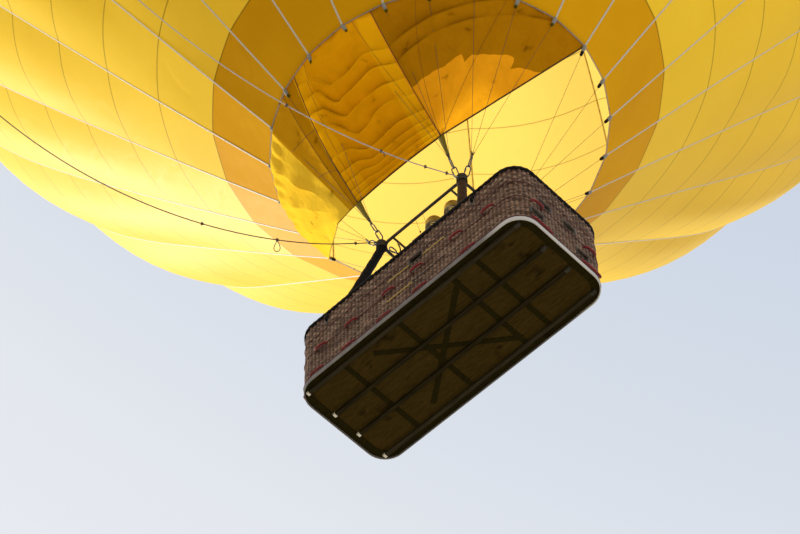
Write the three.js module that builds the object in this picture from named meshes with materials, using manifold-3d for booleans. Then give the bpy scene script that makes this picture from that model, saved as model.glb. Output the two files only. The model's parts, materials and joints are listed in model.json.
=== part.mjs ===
// Large ride balloon: fabric envelope with a parachute vent, scoop, flying wires,
// load frame, gimballed double burner and wicker basket. Millimetres, +Z up.
import * as THREE from 'three';
import { mergeVertices } from 'three/addons/utils/BufferGeometryUtils.js';
import Module from 'manifold-3d';

const wasm = await Module();
wasm.setup();

// The origin is the centre of lift, on the axis; heights below are above the basket's underside
const LIFT_HEIGHT = 18500;
const TOUCH = 0.3;

// Envelope: a surface of revolution whose meridian leans out from the mouth,
// runs straight, then curls over as the gas pressure and the radius grow
const GORES = 24;
const GORES_PER_PANEL = 3;
const FIRST_TAPE_DEG = 7.5;
const MOUTH_RADIUS = 2210;
const MOUTH_HEIGHT = 4560;
const MOUTH_LEAN_DEG = 37.3;
const STRAIGHT_TO_HEIGHT = 8900;
const CURL = 9.5e-13;
const MERIDIAN_STEP = 50;
const EQUATOR_HEIGHT = 20000;
const MOUTH_STRETCH = 0.088;
const COURSE = 1317;
const SKIN = 10;
const VENT_RADIUS = 2700;
const PANEL_ROWS = 10;
const STEPS_PER_GORE = 4;
const GORE_BULGE = 0.016;

// Vent: parachute panel under the crown tapes
const VENT_SEAT = 600;
const VENT_OVERLAP = 350;
const VENT_GAP = 12;
const VENT_PATCH = 30;
const CROWN_RING = { radius: 160, inside: 25, outside: 45, up: 12, down: 12 };
const CROWN_TAPE_WIDTH = 50;
const TAPE_SETBACK = 1.2;

// Basket
const BASKET = { length: 3600, width: 1520, corner: 280, height: 1165 };
const BASE_RIM = { width: 100, low: 36, high: 72 };
const BAND = { thick: 12, low: 10, high: 75 };
const WALL = { thick: 30, inset: 5, top: 1060 };
const CAP = { width: 150, proud: 30, soften: 30 };
const BOARD = { thick: 18, low: 45 };
const RUNNER = { width: 46, high: 35.7, wall: 3, from: -1690, to: 1660 };
const RUNNER_Y = [-640, -200, 200, 640];
const BRACE = { width: 60, low: 36, high: 44.7 };
const BRACED_BAR_X = [-245, 610];
const END_BAR_X = [-1110, 975];
const X_BRACE = [
  // from x, y to x, y
  [-750, -500, 640, 550],
  [-750, 500, 640, -550],
];
const PILOT_BAY = 1100;
const PARTITION = { thick: 30, low: 76, top: 1000, footEnd: 140, bite: 5 };
const CYLINDER = {
  radius: 180, height: 880, x: 330, y: 488, foot: 25, footHigh: 30, soften: 55,
  shoulder: 150, neck: 95, collarRadius: 110, collarLow: 75, collarWall: 12, dome: 60,
};
const STEP_HOLE = { width: 200, height: 120 };
const END_HOLES = [
  // across, up
  [-310, 620],
  [-460, 280],
  [110, 630],
  [310, 270],
];
const SIDE_HOLES = [
  // along, up
  [190, 785],
];

// Load frame on its four posts
const FRAME = { x: 680, y: 410, height: 2350, tube: 21, corner: 120 };
const POST_FOOT = { x: 900, y: 700 };
const POST_RADIUS = 60;
const POST_CAP = { radius: 62, low: 2295, high: 2415 };
const MEMBER = { x: 490, tube: 16 };
const BEARING = { face: 430, half: 32, bore: 11, past: 5 };

// Burners in two gimbal rings: the cradle rolls about X, the block pitches about Y
const CRADLE = { x: 350, y: 190, tube: 14, lug: 30 };
const TRUNNION = 10;
const TRUNNION_END = 455;
const CAN = { x: 160, radius: 118, low: 2460, high: 2820, flare: 60, lip: 8, wall: 30, well: 60 };
const BLOCK = { x: 300, y: 90, low: 2325, high: 2430, bite: 5 };
const VALVE = { halfX: 45, halfY: 60, down: 70, leverLow: 40, leverEnd: 170, leverRadius: 9, stem: 55 };

// Flying wires
const WIRE_RADIUS = 4;
const LINK = { length: 130, width: 62, bar: 6, bite: 2 };
const THIMBLE_RADIUS = 14;
const GATHER_RADIUS = 15;
const CORNERS = [[1, 1], [-1, 1], [-1, -1], [1, -1]];
const EYES = [
  // offset of each lifting eye from the frame corner, along x and y
  [40, -30],
  [-40, 30],
];

// Crown ropes: from a corner's cap, hanging free, then lying on the skin from a distance along it up to the ring
const ROPE = {
  radius: 7, clear: 9, seat: 1.5, settle: 500, sides: 8, steps: 80, straight: 45, up: 85, scale: [2000, 9000],
};
const CROWN_ROPES = [
  { corner: 3, degrees: -105, lands: 16400 },
  { corner: 2, degrees: -120, lands: 16800 },
];

// Scoop: fabric hung from the near side of the mouth and tied to two corners
const SCOOP = {
  fromDeg: 7.5, toDeg: -187.5, hold: 60, belly: 30, tieRight: [637, -702, 3100], tieLeft: [-772, -728, 3100],
};

const paint = (colour, roughness, metalness = 0) =>
  new THREE.MeshStandardMaterial({ color: colour, roughness, metalness });
const YELLOW = paint(0xecc838, 0.6);
const ORANGE = paint(0xc98a1c, 0.75);
const TAPE = paint(0xd8d2c0, 0.7);
const STEEL = paint(0x8f9092, 0.35, 0.9);
const DARK_STEEL = paint(0x3c3c3c, 0.4, 0.8);
const STAINLESS = paint(0x9a8258, 0.3, 0.9);
const LEATHER = paint(0x1d1b1a, 0.6);
const WICKER = paint(0x7a5238, 0.8);
const HIDE = paint(0xb4b2ac, 0.7);
const TIMBER = paint(0x4a3a20, 0.8);
const CYLINDER_COVER = paint(0x2c2b30, 0.85);
const PALE_ROPE = paint(0xc8bca0, 0.85);
const DARK_ROPE = paint(0x5a4636, 0.85);

const balloon = new THREE.Group();
balloon.position.z = -LIFT_HEIGHT;
const add = (name, geometry, material) => {
  const mesh = new THREE.Mesh(geometry, material);
  mesh.name = name;
  balloon.add(mesh);
};
const rad = THREE.MathUtils.degToRad;
const spread = (from, to, count) =>
  Array.from({ length: count + 1 }, (_, i) => from + (to - from) * i / count);

// Closed solids, joined and cut; slivers thinner than this are smoothed away
const SLIVER = 0.05;
const bare = (geometry) => {
  const copy = geometry.clone();
  copy.deleteAttribute('normal');
  copy.deleteAttribute('uv');
  return mergeVertices(copy, 1e-3);
};
const toSolid = (geometry) => {
  const merged = bare(geometry);
  return new wasm.Manifold(new wasm.Mesh({
    numProp: 3,
    vertProperties: new Float32Array(merged.attributes.position.array),
    triVerts: new Uint32Array(merged.index.array),
  }));
};
const fromSolid = (solid) => {
  const mesh = solid.simplify(SLIVER).getMesh();
  const geometry = new THREE.BufferGeometry();
  geometry.setAttribute('position', new THREE.BufferAttribute(mesh.vertProperties, 3));
  geometry.setIndex(new THREE.BufferAttribute(mesh.triVerts, 1));
  return geometry;
};
const join = (geometries) =>
  fromSolid(geometries.map(toSolid).reduce((whole, piece) => whole.add(piece)));
const cut = (geometry, tools) =>
  fromSolid(tools.map(toSolid).reduce((whole, tool) => whole.subtract(tool), toSolid(geometry)));

const block = (x0, x1, y0, y1, z0, z1) =>
  new THREE.BoxGeometry(x1 - x0, y1 - y0, z1 - z0)
    .translate((x0 + x1) / 2, (y0 + y1) / 2, (z0 + z1) / 2);
const rod = (from, to, radius, sides = 10) => {
  const run = new THREE.Vector3().subVectors(to, from);
  const turn = new THREE.Quaternion().setFromUnitVectors(new THREE.Vector3(0, 1, 0), run.clone().normalize());
  const middle = new THREE.Vector3().addVectors(from, to).multiplyScalar(0.5);
  return new THREE.CylinderGeometry(radius, radius, run.length(), sides)
    .applyQuaternion(turn).translate(middle.x, middle.y, middle.z);
};
const at = (x, y, z) => new THREE.Vector3(x, y, z);
const roundedRectangle = (halfX, halfY, corner, Type = THREE.Shape) => {
  const shape = new Type();
  shape.moveTo(halfX, -halfY + corner);
  shape.lineTo(halfX, halfY - corner);
  shape.absarc(halfX - corner, halfY - corner, corner, 0, Math.PI / 2);
  shape.lineTo(-halfX + corner, halfY);
  shape.absarc(-halfX + corner, halfY - corner, corner, Math.PI / 2, Math.PI);
  shape.lineTo(-halfX, -halfY + corner);
  shape.absarc(-halfX + corner, -halfY + corner, corner, Math.PI, Math.PI * 1.5);
  shape.lineTo(halfX - corner, -halfY);
  shape.absarc(halfX - corner, -halfY + corner, corner, Math.PI * 1.5, Math.PI * 2);
  return shape;
};
const slab = (shape, low, high, curveSegments = 4) =>
  new THREE.ExtrudeGeometry(shape, { depth: high - low, bevelEnabled: false, curveSegments })
    .translate(0, 0, low);
const ring = (halfX, halfY, corner, width, low, high, curveSegments = 4) => {
  const shape = roundedRectangle(halfX, halfY, corner);
  shape.holes.push(roundedRectangle(halfX - width, halfY - width, corner - width, THREE.Path));
  return slab(shape, low, high, curveSegments);
};

// A closed section carried round a rounded rectangle; the section's points are out and up
const sweepRound = (halfX, halfY, corner, section, steps = 5) => {
  const plan = roundedRectangle(halfX, halfY, corner, THREE.Path).getPoints(steps).slice(0, -1);
  const grid = plan.map((p, i) => {
    const before = plan.at(i - 1);
    const after = plan[(i + 1) % plan.length];
    const out = new THREE.Vector2(after.y - before.y, before.x - after.x).normalize();
    return section.map(([across, up]) => at(p.x + out.x * across, p.y + out.y * across, up));
  });
  const faces = [];
  const count = section.length;
  grid.forEach((row, i) => row.forEach((point, j) => {
    const [a, b] = [i * count + j, i * count + (j + 1) % count];
    const [c, d] = [((i + 1) % grid.length) * count + (j + 1) % count, ((i + 1) % grid.length) * count + j];
    faces.push(a, c, b, a, d, c);
  }));
  const geometry = new THREE.BufferGeometry();
  geometry.setAttribute('position', new THREE.Float32BufferAttribute(grid.flat().flatMap((p) => p.toArray()), 3));
  geometry.setIndex(faces);
  return geometry;
};
const circle = (radius, up, sides = 8) => spread(0, 360, sides).slice(0, sides)
  .map((degrees) => [radius * Math.cos(rad(degrees)), up + radius * Math.sin(rad(degrees))]);

// A sheet with thickness between two grids of points
const sheet = (outer, inner) => {
  const rows = outer.length;
  const columns = outer[0].length;
  const points = [...outer.flat(), ...inner.flat()];
  const faces = [];
  const quad = (a, b, c, d) => faces.push(a, b, c, a, c, d);
  const id = (side, row, column) => side * rows * columns + row * columns + column;
  const last = columns - 1;
  for (let row = 0; row < rows - 1; row += 1) {
    for (let column = 0; column < last; column += 1) {
      quad(id(0, row, column), id(0, row, column + 1), id(0, row + 1, column + 1), id(0, row + 1, column));
      quad(id(1, row, column), id(1, row + 1, column), id(1, row + 1, column + 1), id(1, row, column + 1));
    }
    quad(id(0, row, 0), id(0, row + 1, 0), id(1, row + 1, 0), id(1, row, 0));
    quad(id(0, row, last), id(1, row, last), id(1, row + 1, last), id(0, row + 1, last));
  }
  for (let column = 0; column < last; column += 1) {
    quad(id(0, 0, column), id(1, 0, column), id(1, 0, column + 1), id(0, 0, column + 1));
    const top = rows - 1;
    quad(id(0, top, column), id(0, top, column + 1), id(1, top, column + 1), id(1, top, column));
  }
  const geometry = new THREE.BufferGeometry();
  geometry.setAttribute('position', new THREE.Float32BufferAttribute(points.flatMap((p) => p.toArray()), 3));
  geometry.setIndex(faces);
  let volume = 0;
  for (let f = 0; f < faces.length; f += 3) {
    const [a, b, c] = [points[faces[f]], points[faces[f + 1]], points[faces[f + 2]]];
    volume += a.dot(b.clone().cross(c));
  }
  if (volume < 0) {
    for (let f = 0; f < faces.length; f += 3) [faces[f], faces[f + 1]] = [faces[f + 1], faces[f]];
    geometry.setIndex(faces);
  }
  return geometry;
};

// Meridian: distance along the fabric from the mouth, radius, height and lean from the vertical
const meridian = [];
{
  let [along, radius, height, lean] = [0, MOUTH_RADIUS, MOUTH_HEIGHT, rad(MOUTH_LEAN_DEG)];
  while (radius > CROWN_RING.radius / 2) {
    meridian.push({ along, radius, height, lean });
    const next = lean - CURL * radius * Math.max(0, height - STRAIGHT_TO_HEIGHT) * MERIDIAN_STEP;
    radius += Math.sin((lean + next) / 2) * MERIDIAN_STEP;
    height += Math.cos((lean + next) / 2) * MERIDIAN_STEP;
    lean = next;
    along += MERIDIAN_STEP;
  }
}
const onMeridian = (along) => {
  const index = Math.min(along / MERIDIAN_STEP, meridian.length - 1.001);
  const low = meridian[Math.floor(index)];
  const high = meridian[Math.floor(index) + 1];
  const mix = (key) => low[key] + (high[key] - low[key]) * (index - Math.floor(index));
  return { radius: mix('radius'), height: mix('height'), lean: mix('lean') };
};
const ventAlong = meridian.filter((m) => m.height > EQUATOR_HEIGHT && m.radius > VENT_RADIUS).at(-1).along;

// A point of the envelope: the mouth is drawn out along the basket, fading to round at the equator
const skinPoint = (along, degrees, inset, bulge = 0, shift = 0) => {
  const { radius, height, lean } = onMeridian(along);
  const rise = THREE.MathUtils.clamp((height - MOUTH_HEIGHT) / (EQUATOR_HEIGHT - MOUTH_HEIGHT), 0, 1);
  const stretch = MOUTH_STRETCH * (1 - rise) ** 2 / 2;
  const out = radius + (bulge * radius - inset) * Math.cos(lean);
  const up = height - (bulge * radius - inset) * Math.sin(lean);
  const [c, s] = [Math.cos(rad(degrees)), Math.sin(rad(degrees))];
  return at(out * (1 + stretch) * c - shift * s, out * (1 - stretch) * s + shift * c, up);
};
// Between its tapes a gore is straight at the mouth, bellies out above, and is level at the vent
const bulgeAt = (along) => {
  const chord = 1 - Math.cos(rad(180 / GORES));
  const grow = THREE.MathUtils.smoothstep(along, 0, 6 * COURSE);
  const fade = 1 - THREE.MathUtils.smoothstep(along, ventAlong - 3 * COURSE, ventAlong);
  return (grow * (GORE_BULGE + chord) - chord) * fade;
};
const goreGrid = (alongs, fromGore, gores, inset, steps, edge = 0) => alongs.map((along) => {
  const row = [];
  for (let step = 0; step <= gores * steps; step += 1) {
    const across = (step % steps) / steps;
    const degrees = FIRST_TAPE_DEG + (fromGore + step / steps) * 360 / GORES;
    const shift = step === 0 ? edge : step === gores * steps ? -edge : 0;
    row.push(skinPoint(along, degrees, inset, bulgeAt(along) * Math.sin(Math.PI * across), shift));
  }
  return row;
});

// Envelope panels, each three gores wide, from the mouth band to the vent's edge
for (let panel = 0; panel < GORES / GORES_PER_PANEL; panel += 1) {
  const alongs = [...spread(COURSE + TOUCH, ventAlong - VENT_SEAT, PANEL_ROWS), ventAlong];
  const side = (inset) =>
    goreGrid(alongs, panel * GORES_PER_PANEL, GORES_PER_PANEL, inset, STEPS_PER_GORE, TOUCH / 2);
  add(`envelope_panel_${panel + 1}`, sheet(side(0), side(SKIN)), YELLOW);
}

// Mouth band: the lowest course, of heat-resistant cloth, in four quarters
const QUARTERS = 4;
for (let quarter = 0; quarter < QUARTERS; quarter += 1) {
  const gores = GORES / QUARTERS;
  const alongs = [0, COURSE / 2, COURSE];
  const side = (inset) => goreGrid(alongs, quarter * gores, gores, inset, 2, TOUCH / 2);
  add(`mouth_band_${quarter + 1}`, sheet(side(0), side(SKIN)), ORANGE);
}

// Crown: flat ring at the top, with a tape to each seam of the vent's edge
const crownAlong = meridian.at(-1).along;
const crownTop = onMeridian(crownAlong).height;
const crownTapes = [];
for (let tape = 0; tape < GORES; tape += 1) {
  const degrees = FIRST_TAPE_DEG + tape * 360 / GORES;
  const alongs = spread(ventAlong + TAPE_SETBACK, crownAlong - MERIDIAN_STEP, 2);
  const strip = (inset) => alongs.map((along) => [-0.5, 0.5].map((side) =>
    skinPoint(along, degrees, inset, 0, side * CROWN_TAPE_WIDTH)));
  crownTapes.push(sheet(strip(0), strip(SKIN)));
}
const crownRing = (() => {
  const [inside, outside] = [CROWN_RING.radius - CROWN_RING.inside, CROWN_RING.radius + CROWN_RING.outside];
  const [low, high] = [crownTop - CROWN_RING.down, crownTop + CROWN_RING.up];
  const outline = [[inside, low], [outside, low], [outside, high], [inside, high], [inside, low]];
  return new THREE.LatheGeometry(outline.map(([r, up]) => new THREE.Vector2(r, up)), GORES)
    .rotateX(Math.PI / 2);
})();
add('crown_tapes', join([crownRing, ...crownTapes]), TAPE);

// Parachute vent panel, seated by the patch at its centre on the crown ring
{
  const rim = ventAlong - VENT_OVERLAP;
  const centre = crownAlong - MERIDIAN_STEP;
  const depth = SKIN + VENT_GAP;
  const profile = (inset) => spread(rim, centre, 3).map((along) => {
    const { radius, height, lean } = onMeridian(along);
    return new THREE.Vector2(radius - inset * Math.cos(lean), height + inset * Math.sin(lean));
  });
  const outer = profile(depth);
  const inner = profile(depth + SKIN);
  const patch = CROWN_RING.radius + VENT_PATCH;
  const seat = crownTop - CROWN_RING.down - TOUCH;
  const under = inner.at(-1).y;
  const outline = [
    new THREE.Vector2(0, under),
    ...inner.toReversed(),
    ...outer.slice(0, -1),
    new THREE.Vector2(patch, outer.at(-1).y),
    new THREE.Vector2(patch, seat),
    new THREE.Vector2(0, seat),
  ];
  add('vent_panel', new THREE.LatheGeometry(outline, GORES)
    .rotateX(Math.PI / 2).rotateZ(rad(FIRST_TAPE_DEG)), YELLOW);
}

// Scoop: sewn inside the mouth's edge, then ruled down to the hem between the two ties
{
  const gores = (SCOOP.fromDeg - SCOOP.toDeg) / (360 / GORES);
  const right = at(...SCOOP.tieRight);
  const left = at(...SCOOP.tieLeft);
  const side = (depth) => [-1, 0, 0.34, 0.67, 1].map((drop) => spread(0, 1, gores * 2).map((across, column) => {
    const degrees = SCOOP.fromDeg + (SCOOP.toDeg - SCOOP.fromDeg) * across;
    const along = drop < 0 ? SCOOP.hold : 0;
    const top = skinPoint(along, degrees, SKIN + TOUCH + depth, column % 2 ? bulgeAt(along) : 0);
    if (drop <= 0) return top;
    const hem = right.clone().lerp(left, across);
    const belly = SCOOP.belly * Math.sin(Math.PI * drop) * Math.sin(Math.PI * across);
    const outward = at(Math.cos(rad(degrees)), Math.sin(rad(degrees)), -1).normalize();
    return skinPoint(0, degrees, SKIN + TOUCH, column % 2 ? bulgeAt(0) : 0).lerp(hem, drop)
      .addScaledVector(outward, belly - depth);
  }));
  add('scoop', sheet(side(0), side(SKIN)), ORANGE);
}

// Flying wires: three from each of eight shackle chains to the mouth's edge
const eyePoint = (quadrant, eye) => {
  const [sx, sy] = CORNERS[quadrant];
  const [dx, dy] = EYES[eye];
  return at(sx * (FRAME.x + dx), sy * (FRAME.y + dy), POST_CAP.high);
};
const chainLink = (low, run, turn) => {
  const half = LINK.length / 2 - LINK.width / 2;
  const round = LINK.width / 2 - LINK.bar;
  const points = spread(0, 12, 12).slice(0, 12).map((i) => {
    const angle = (i + 0.5) * Math.PI / 6;
    return at(round * Math.cos(angle), round * Math.sin(angle) + Math.sign(Math.sin(angle)) * half, 0);
  });
  const stand = new THREE.Quaternion().setFromUnitVectors(at(0, 1, 0), run);
  const middle = low.clone().addScaledVector(run, LINK.length / 2);
  return new THREE.TubeGeometry(new THREE.CatmullRomCurve3(points, true), 8, LINK.bar, 4, true)
    .rotateY(turn).applyQuaternion(stand).translate(middle.x, middle.y, middle.z);
};
let bundle = 0;
for (let quadrant = 0; quadrant < 4; quadrant += 1) {
  for (let eye = 0; eye < EYES.length; eye += 1) {
    bundle += 1;
    const first = quadrant * 6 + (quadrant % 2 ? 1 - eye : eye) * 3;
    const tops = [0, 1, 2].map((i) => skinPoint(0, FIRST_TAPE_DEG + (first + i) * 360 / GORES, 0)
      .add(at(0, 0, -THIMBLE_RADIUS - TOUCH)));
    const foot = eyePoint(quadrant, eye);
    const run = tops[1].clone().sub(foot).normalize();
    const resting = chainLink(foot, run, 0);
    resting.computeBoundingBox();
    const low = foot.clone().add(at(0, 0, foot.z + TOUCH - resting.boundingBox.min.z));
    const pitch = LINK.length - 4 * LINK.bar + LINK.bite;
    const links = [0, 1].map((i) => chainLink(low.clone().addScaledVector(run, i * pitch), run, i * Math.PI / 2));
    const knot = low.clone().addScaledVector(run, pitch + LINK.length - LINK.bar);
    const gather = new THREE.SphereGeometry(GATHER_RADIUS, 8, 6).translate(knot.x, knot.y, knot.z);
    const wires = tops.flatMap((top) => [
      rod(knot, top, WIRE_RADIUS, 5),
      new THREE.SphereGeometry(THIMBLE_RADIUS, 6, 4).rotateX(Math.PI / 2).translate(top.x, top.y, top.z),
    ]);
    add(`flying_wires_${bundle}`, join([...links, gather, ...wires]), STEEL);
  }
}

// Crown ropes
CROWN_ROPES.forEach(({ corner, degrees, lands }, i) => {
  const clear = -ROPE.radius - ROPE.clear;
  const lying = (along) => skinPoint(along, degrees, clear, bulgeAt(along));
  const [sx, sy] = CORNERS[corner];
  const cap = at(sx * FRAME.x, sy * FRAME.y, POST_CAP.low + ROPE.up);
  const top = lying(lands);
  const out = at(top.x - cap.x, top.y - cap.y, 0).normalize();
  const start = cap.clone().addScaledVector(out, POST_CAP.radius + TOUCH);
  const foot = start.clone().addScaledVector(out, ROPE.straight);
  const rise = lying(lands + MERIDIAN_STEP).sub(top);
  const slope = rise.z / Math.hypot(rise.x, rise.y);
  const reach = Math.hypot(top.x - foot.x, top.y - foot.y);
  const height = (scale, x) => {
    const lowest = reach - scale * Math.asinh(slope);
    return scale * (Math.cosh((x - lowest) / scale) - Math.cosh(lowest / scale));
  };
  let [low, high] = ROPE.scale;
  while (high - low > 0.01) {
    const middle = (low + high) / 2;
    if (height(middle, reach) < top.z - foot.z) low = middle;
    else high = middle;
  }
  const hanging = spread(0, 1, 24).slice(0, -1).map((share) => {
    const x = reach * Math.sin(share * Math.PI / 2);
    return foot.clone().addScaledVector(out, x).add(at(0, 0, height(low, x)));
  });
  const ringAlong = crownAlong - (CROWN_RING.radius + CROWN_RING.outside + TOUCH - meridian.at(-1).radius);
  const knot = skinPoint(ringAlong, degrees, -ROPE.radius - ROPE.seat);
  const points = [start, ...hanging, ...spread(lands, ringAlong - ROPE.settle, 20).map(lying), knot];
  const section = new THREE.Shape(circle(ROPE.radius, 0, ROPE.sides).map(([x, y]) => new THREE.Vector2(x, y)));
  add(`crown_rope_${i + 1}`, new THREE.ExtrudeGeometry(section, {
    steps: ROPE.steps, bevelEnabled: false, extrudePath: new THREE.CatmullRomCurve3(points),
  }), i ? DARK_ROPE : PALE_ROPE);
});

// Load frame: rounded ring of tube, two members across it, bearings, and a cap over each post
{
  const hoop = sweepRound(FRAME.x, FRAME.y, FRAME.corner, circle(FRAME.tube, FRAME.height), 4);
  const members = [-1, 1].map((side) => rod(at(side * MEMBER.x, -FRAME.y, FRAME.height),
    at(side * MEMBER.x, FRAME.y, FRAME.height), MEMBER.tube, 8));
  const bearings = [-1, 1].map((side) => {
    const [x0, x1] = [BEARING.face, MEMBER.x - MEMBER.tube / 2].map((x) => side * x).sort((a, b) => a - b);
    const lug = block(x0, x1, -BEARING.half, BEARING.half, FRAME.height - BEARING.half, FRAME.height + BEARING.half);
    const bore = rod(at(x0 - BEARING.past, 0, FRAME.height), at(x1 + BEARING.past, 0, FRAME.height),
      BEARING.bore, 16);
    return cut(lug, [bore]);
  });
  const caps = CORNERS.map(([sx, sy]) => {
    const [x, y] = [sx * FRAME.x, sy * FRAME.y];
    return rod(at(x, y, POST_CAP.low), at(x, y, POST_CAP.high), POST_CAP.radius, 24);
  });
  add('load_frame', join([hoop, ...members, ...bearings, ...caps]), STEEL);
}

// Padded posts lean from the basket's cap to the load frame, with level ends
CORNERS.forEach(([sx, sy], i) => {
  const low = BASKET.height + TOUCH;
  const high = POST_CAP.low - TOUCH;
  const post = new THREE.CylinderGeometry(POST_RADIUS, POST_RADIUS, high - low, 12).rotateX(Math.PI / 2);
  const place = post.attributes.position;
  for (let v = 0; v < place.count; v += 1) {
    const up = place.getZ(v) / (high - low) + 0.5;
    const x = THREE.MathUtils.lerp(POST_FOOT.x, FRAME.x, up);
    const y = THREE.MathUtils.lerp(POST_FOOT.y, FRAME.y, up);
    place.setXYZ(v, place.getX(v) + sx * x, place.getY(v) + sy * y, THREE.MathUtils.lerp(low, high, up));
  }
  add(`post_${i + 1}`, post, LEATHER);
});

// Gimbal cradle: rectangle of tube whose trunnions turn about X in the frame's bearings
{
  const z = FRAME.height;
  const bars = [-1, 1].flatMap((side) => [
    rod(at(-CRADLE.x, side * CRADLE.y, z), at(CRADLE.x, side * CRADLE.y, z), CRADLE.tube, 8),
    rod(at(side * CRADLE.x, -CRADLE.y, z), at(side * CRADLE.x, CRADLE.y, z), CRADLE.tube, 8),
    rod(at(side * (CRADLE.x - CRADLE.tube / 2), 0, z), at(side * TRUNNION_END, 0, z), TRUNNION, 16),
  ]);
  const knuckles = [-1, 1].flatMap((side) => [-1, 1].map((end) =>
    new THREE.SphereGeometry(CRADLE.tube + 1, 8, 6).translate(side * CRADLE.x, end * CRADLE.y, z)));
  const lugs = [-1, 1].map((side) => {
    const [y0, y1] = [CRADLE.y - CRADLE.lug, CRADLE.y].map((y) => side * y).sort((a, b) => a - b);
    return block(-BEARING.half, BEARING.half, y0, y1, z - BEARING.half, z + BEARING.half);
  });
  const holes = [-1, 1].map((side) => rod(at(0, side * (CRADLE.y - CRADLE.lug - BEARING.past), z),
    at(0, side * (CRADLE.y + CRADLE.tube + BEARING.past), z), BEARING.bore, 16));
  add('gimbal_cradle', cut(join([...bars, ...knuckles, ...lugs]), holes), DARK_STEEL);
}

// Burner block: manifold plate on two trunnions about Y, with a valve group under each can
{
  const z = FRAME.height;
  const trunnions = [-1, 1].map((side) =>
    rod(at(0, side * (BLOCK.y - BLOCK.bite), z), at(0, side * CRADLE.y, z), TRUNNION, 16));
  const valves = [-1, 1].flatMap((side) => [
    block(side * CAN.x - VALVE.halfX, side * CAN.x + VALVE.halfX, -VALVE.halfY, VALVE.halfY,
      BLOCK.low - VALVE.down, BLOCK.low + BLOCK.bite),
    rod(at(side * CAN.x, -VALVE.halfY, BLOCK.low - VALVE.leverLow),
      at(side * CAN.x, -VALVE.leverEnd, BLOCK.low - VALVE.down), VALVE.leverRadius, 8),
  ]);
  const plate = block(-BLOCK.x, BLOCK.x, -BLOCK.y, BLOCK.y, BLOCK.low, BLOCK.high);
  const stems = [-1, 1].map((side) =>
    rod(at(side * CAN.x, 0, BLOCK.high - BLOCK.bite), at(side * CAN.x, 0, CAN.low - TOUCH), VALVE.stem, 16));
  add('burner_block', join([plate, ...trunnions, ...valves, ...stems]), DARK_STEEL);
  [-1, 1].forEach((side, i) => {
    const v = (r, up) => new THREE.Vector2(r, up);
    const outline = [
      v(0, CAN.low), v(CAN.radius * 0.75, CAN.low), v(CAN.radius, CAN.low + CAN.flare),
      v(CAN.radius, CAN.high - CAN.wall), v(CAN.radius - CAN.lip, CAN.high),
      v(CAN.radius + CAN.lip / 2 - CAN.wall, CAN.high), v(CAN.radius - CAN.wall, CAN.high - CAN.well),
      v(0, CAN.high - CAN.well),
    ];
    add(`burner_can_${i + 1}`, new THREE.LatheGeometry(outline, 24).rotateX(Math.PI / 2)
      .translate(side * CAN.x, 0, 0), STAINLESS);
  });
}

// Basket wall: one woven tube of rounded plan, with step holes through it
{
  const [halfX, halfY] = [BASKET.length / 2 - WALL.inset, BASKET.width / 2 - WALL.inset];
  const wall = ring(halfX, halfY, BASKET.corner, WALL.thick, BAND.high + TOUCH, WALL.top);
  const hole = (x, y, z, alongX) => {
    const [dx, dy] = alongX ? [STEP_HOLE.width / 2, WALL.thick * 2] : [WALL.thick * 2, STEP_HOLE.width / 2];
    return block(x - dx, x + dx, y - dy, y + dy, z - STEP_HOLE.height / 2, z + STEP_HOLE.height / 2);
  };
  const holes = [
    ...[-1, 1].flatMap((end) => END_HOLES.map(([across, up]) => hole(end * halfX, end * across, up, false))),
    ...[-1, 1].flatMap((side) => SIDE_HOLES.map(([along, up]) => hole(side * along, -side * halfY, up, true))),
  ];
  add('basket_wall', cut(wall, holes), WICKER);
}

// Padded cap along the wall's top
{
  const [halfX, halfY] = [BASKET.length / 2 + CAP.proud, BASKET.width / 2 + CAP.proud];
  const [low, high] = [WALL.top + TOUCH, BASKET.height];
  const section = [
    [0, high - CAP.soften], [-CAP.soften, high], [CAP.soften - CAP.width, high], [-CAP.width, high - CAP.soften],
    [-CAP.width, low + CAP.soften], [CAP.soften - CAP.width, low], [-CAP.soften, low], [0, low + CAP.soften],
  ];
  add('basket_cap', sweepRound(halfX, halfY, BASKET.corner + CAP.proud, section, 4), LEATHER);
}

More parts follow.
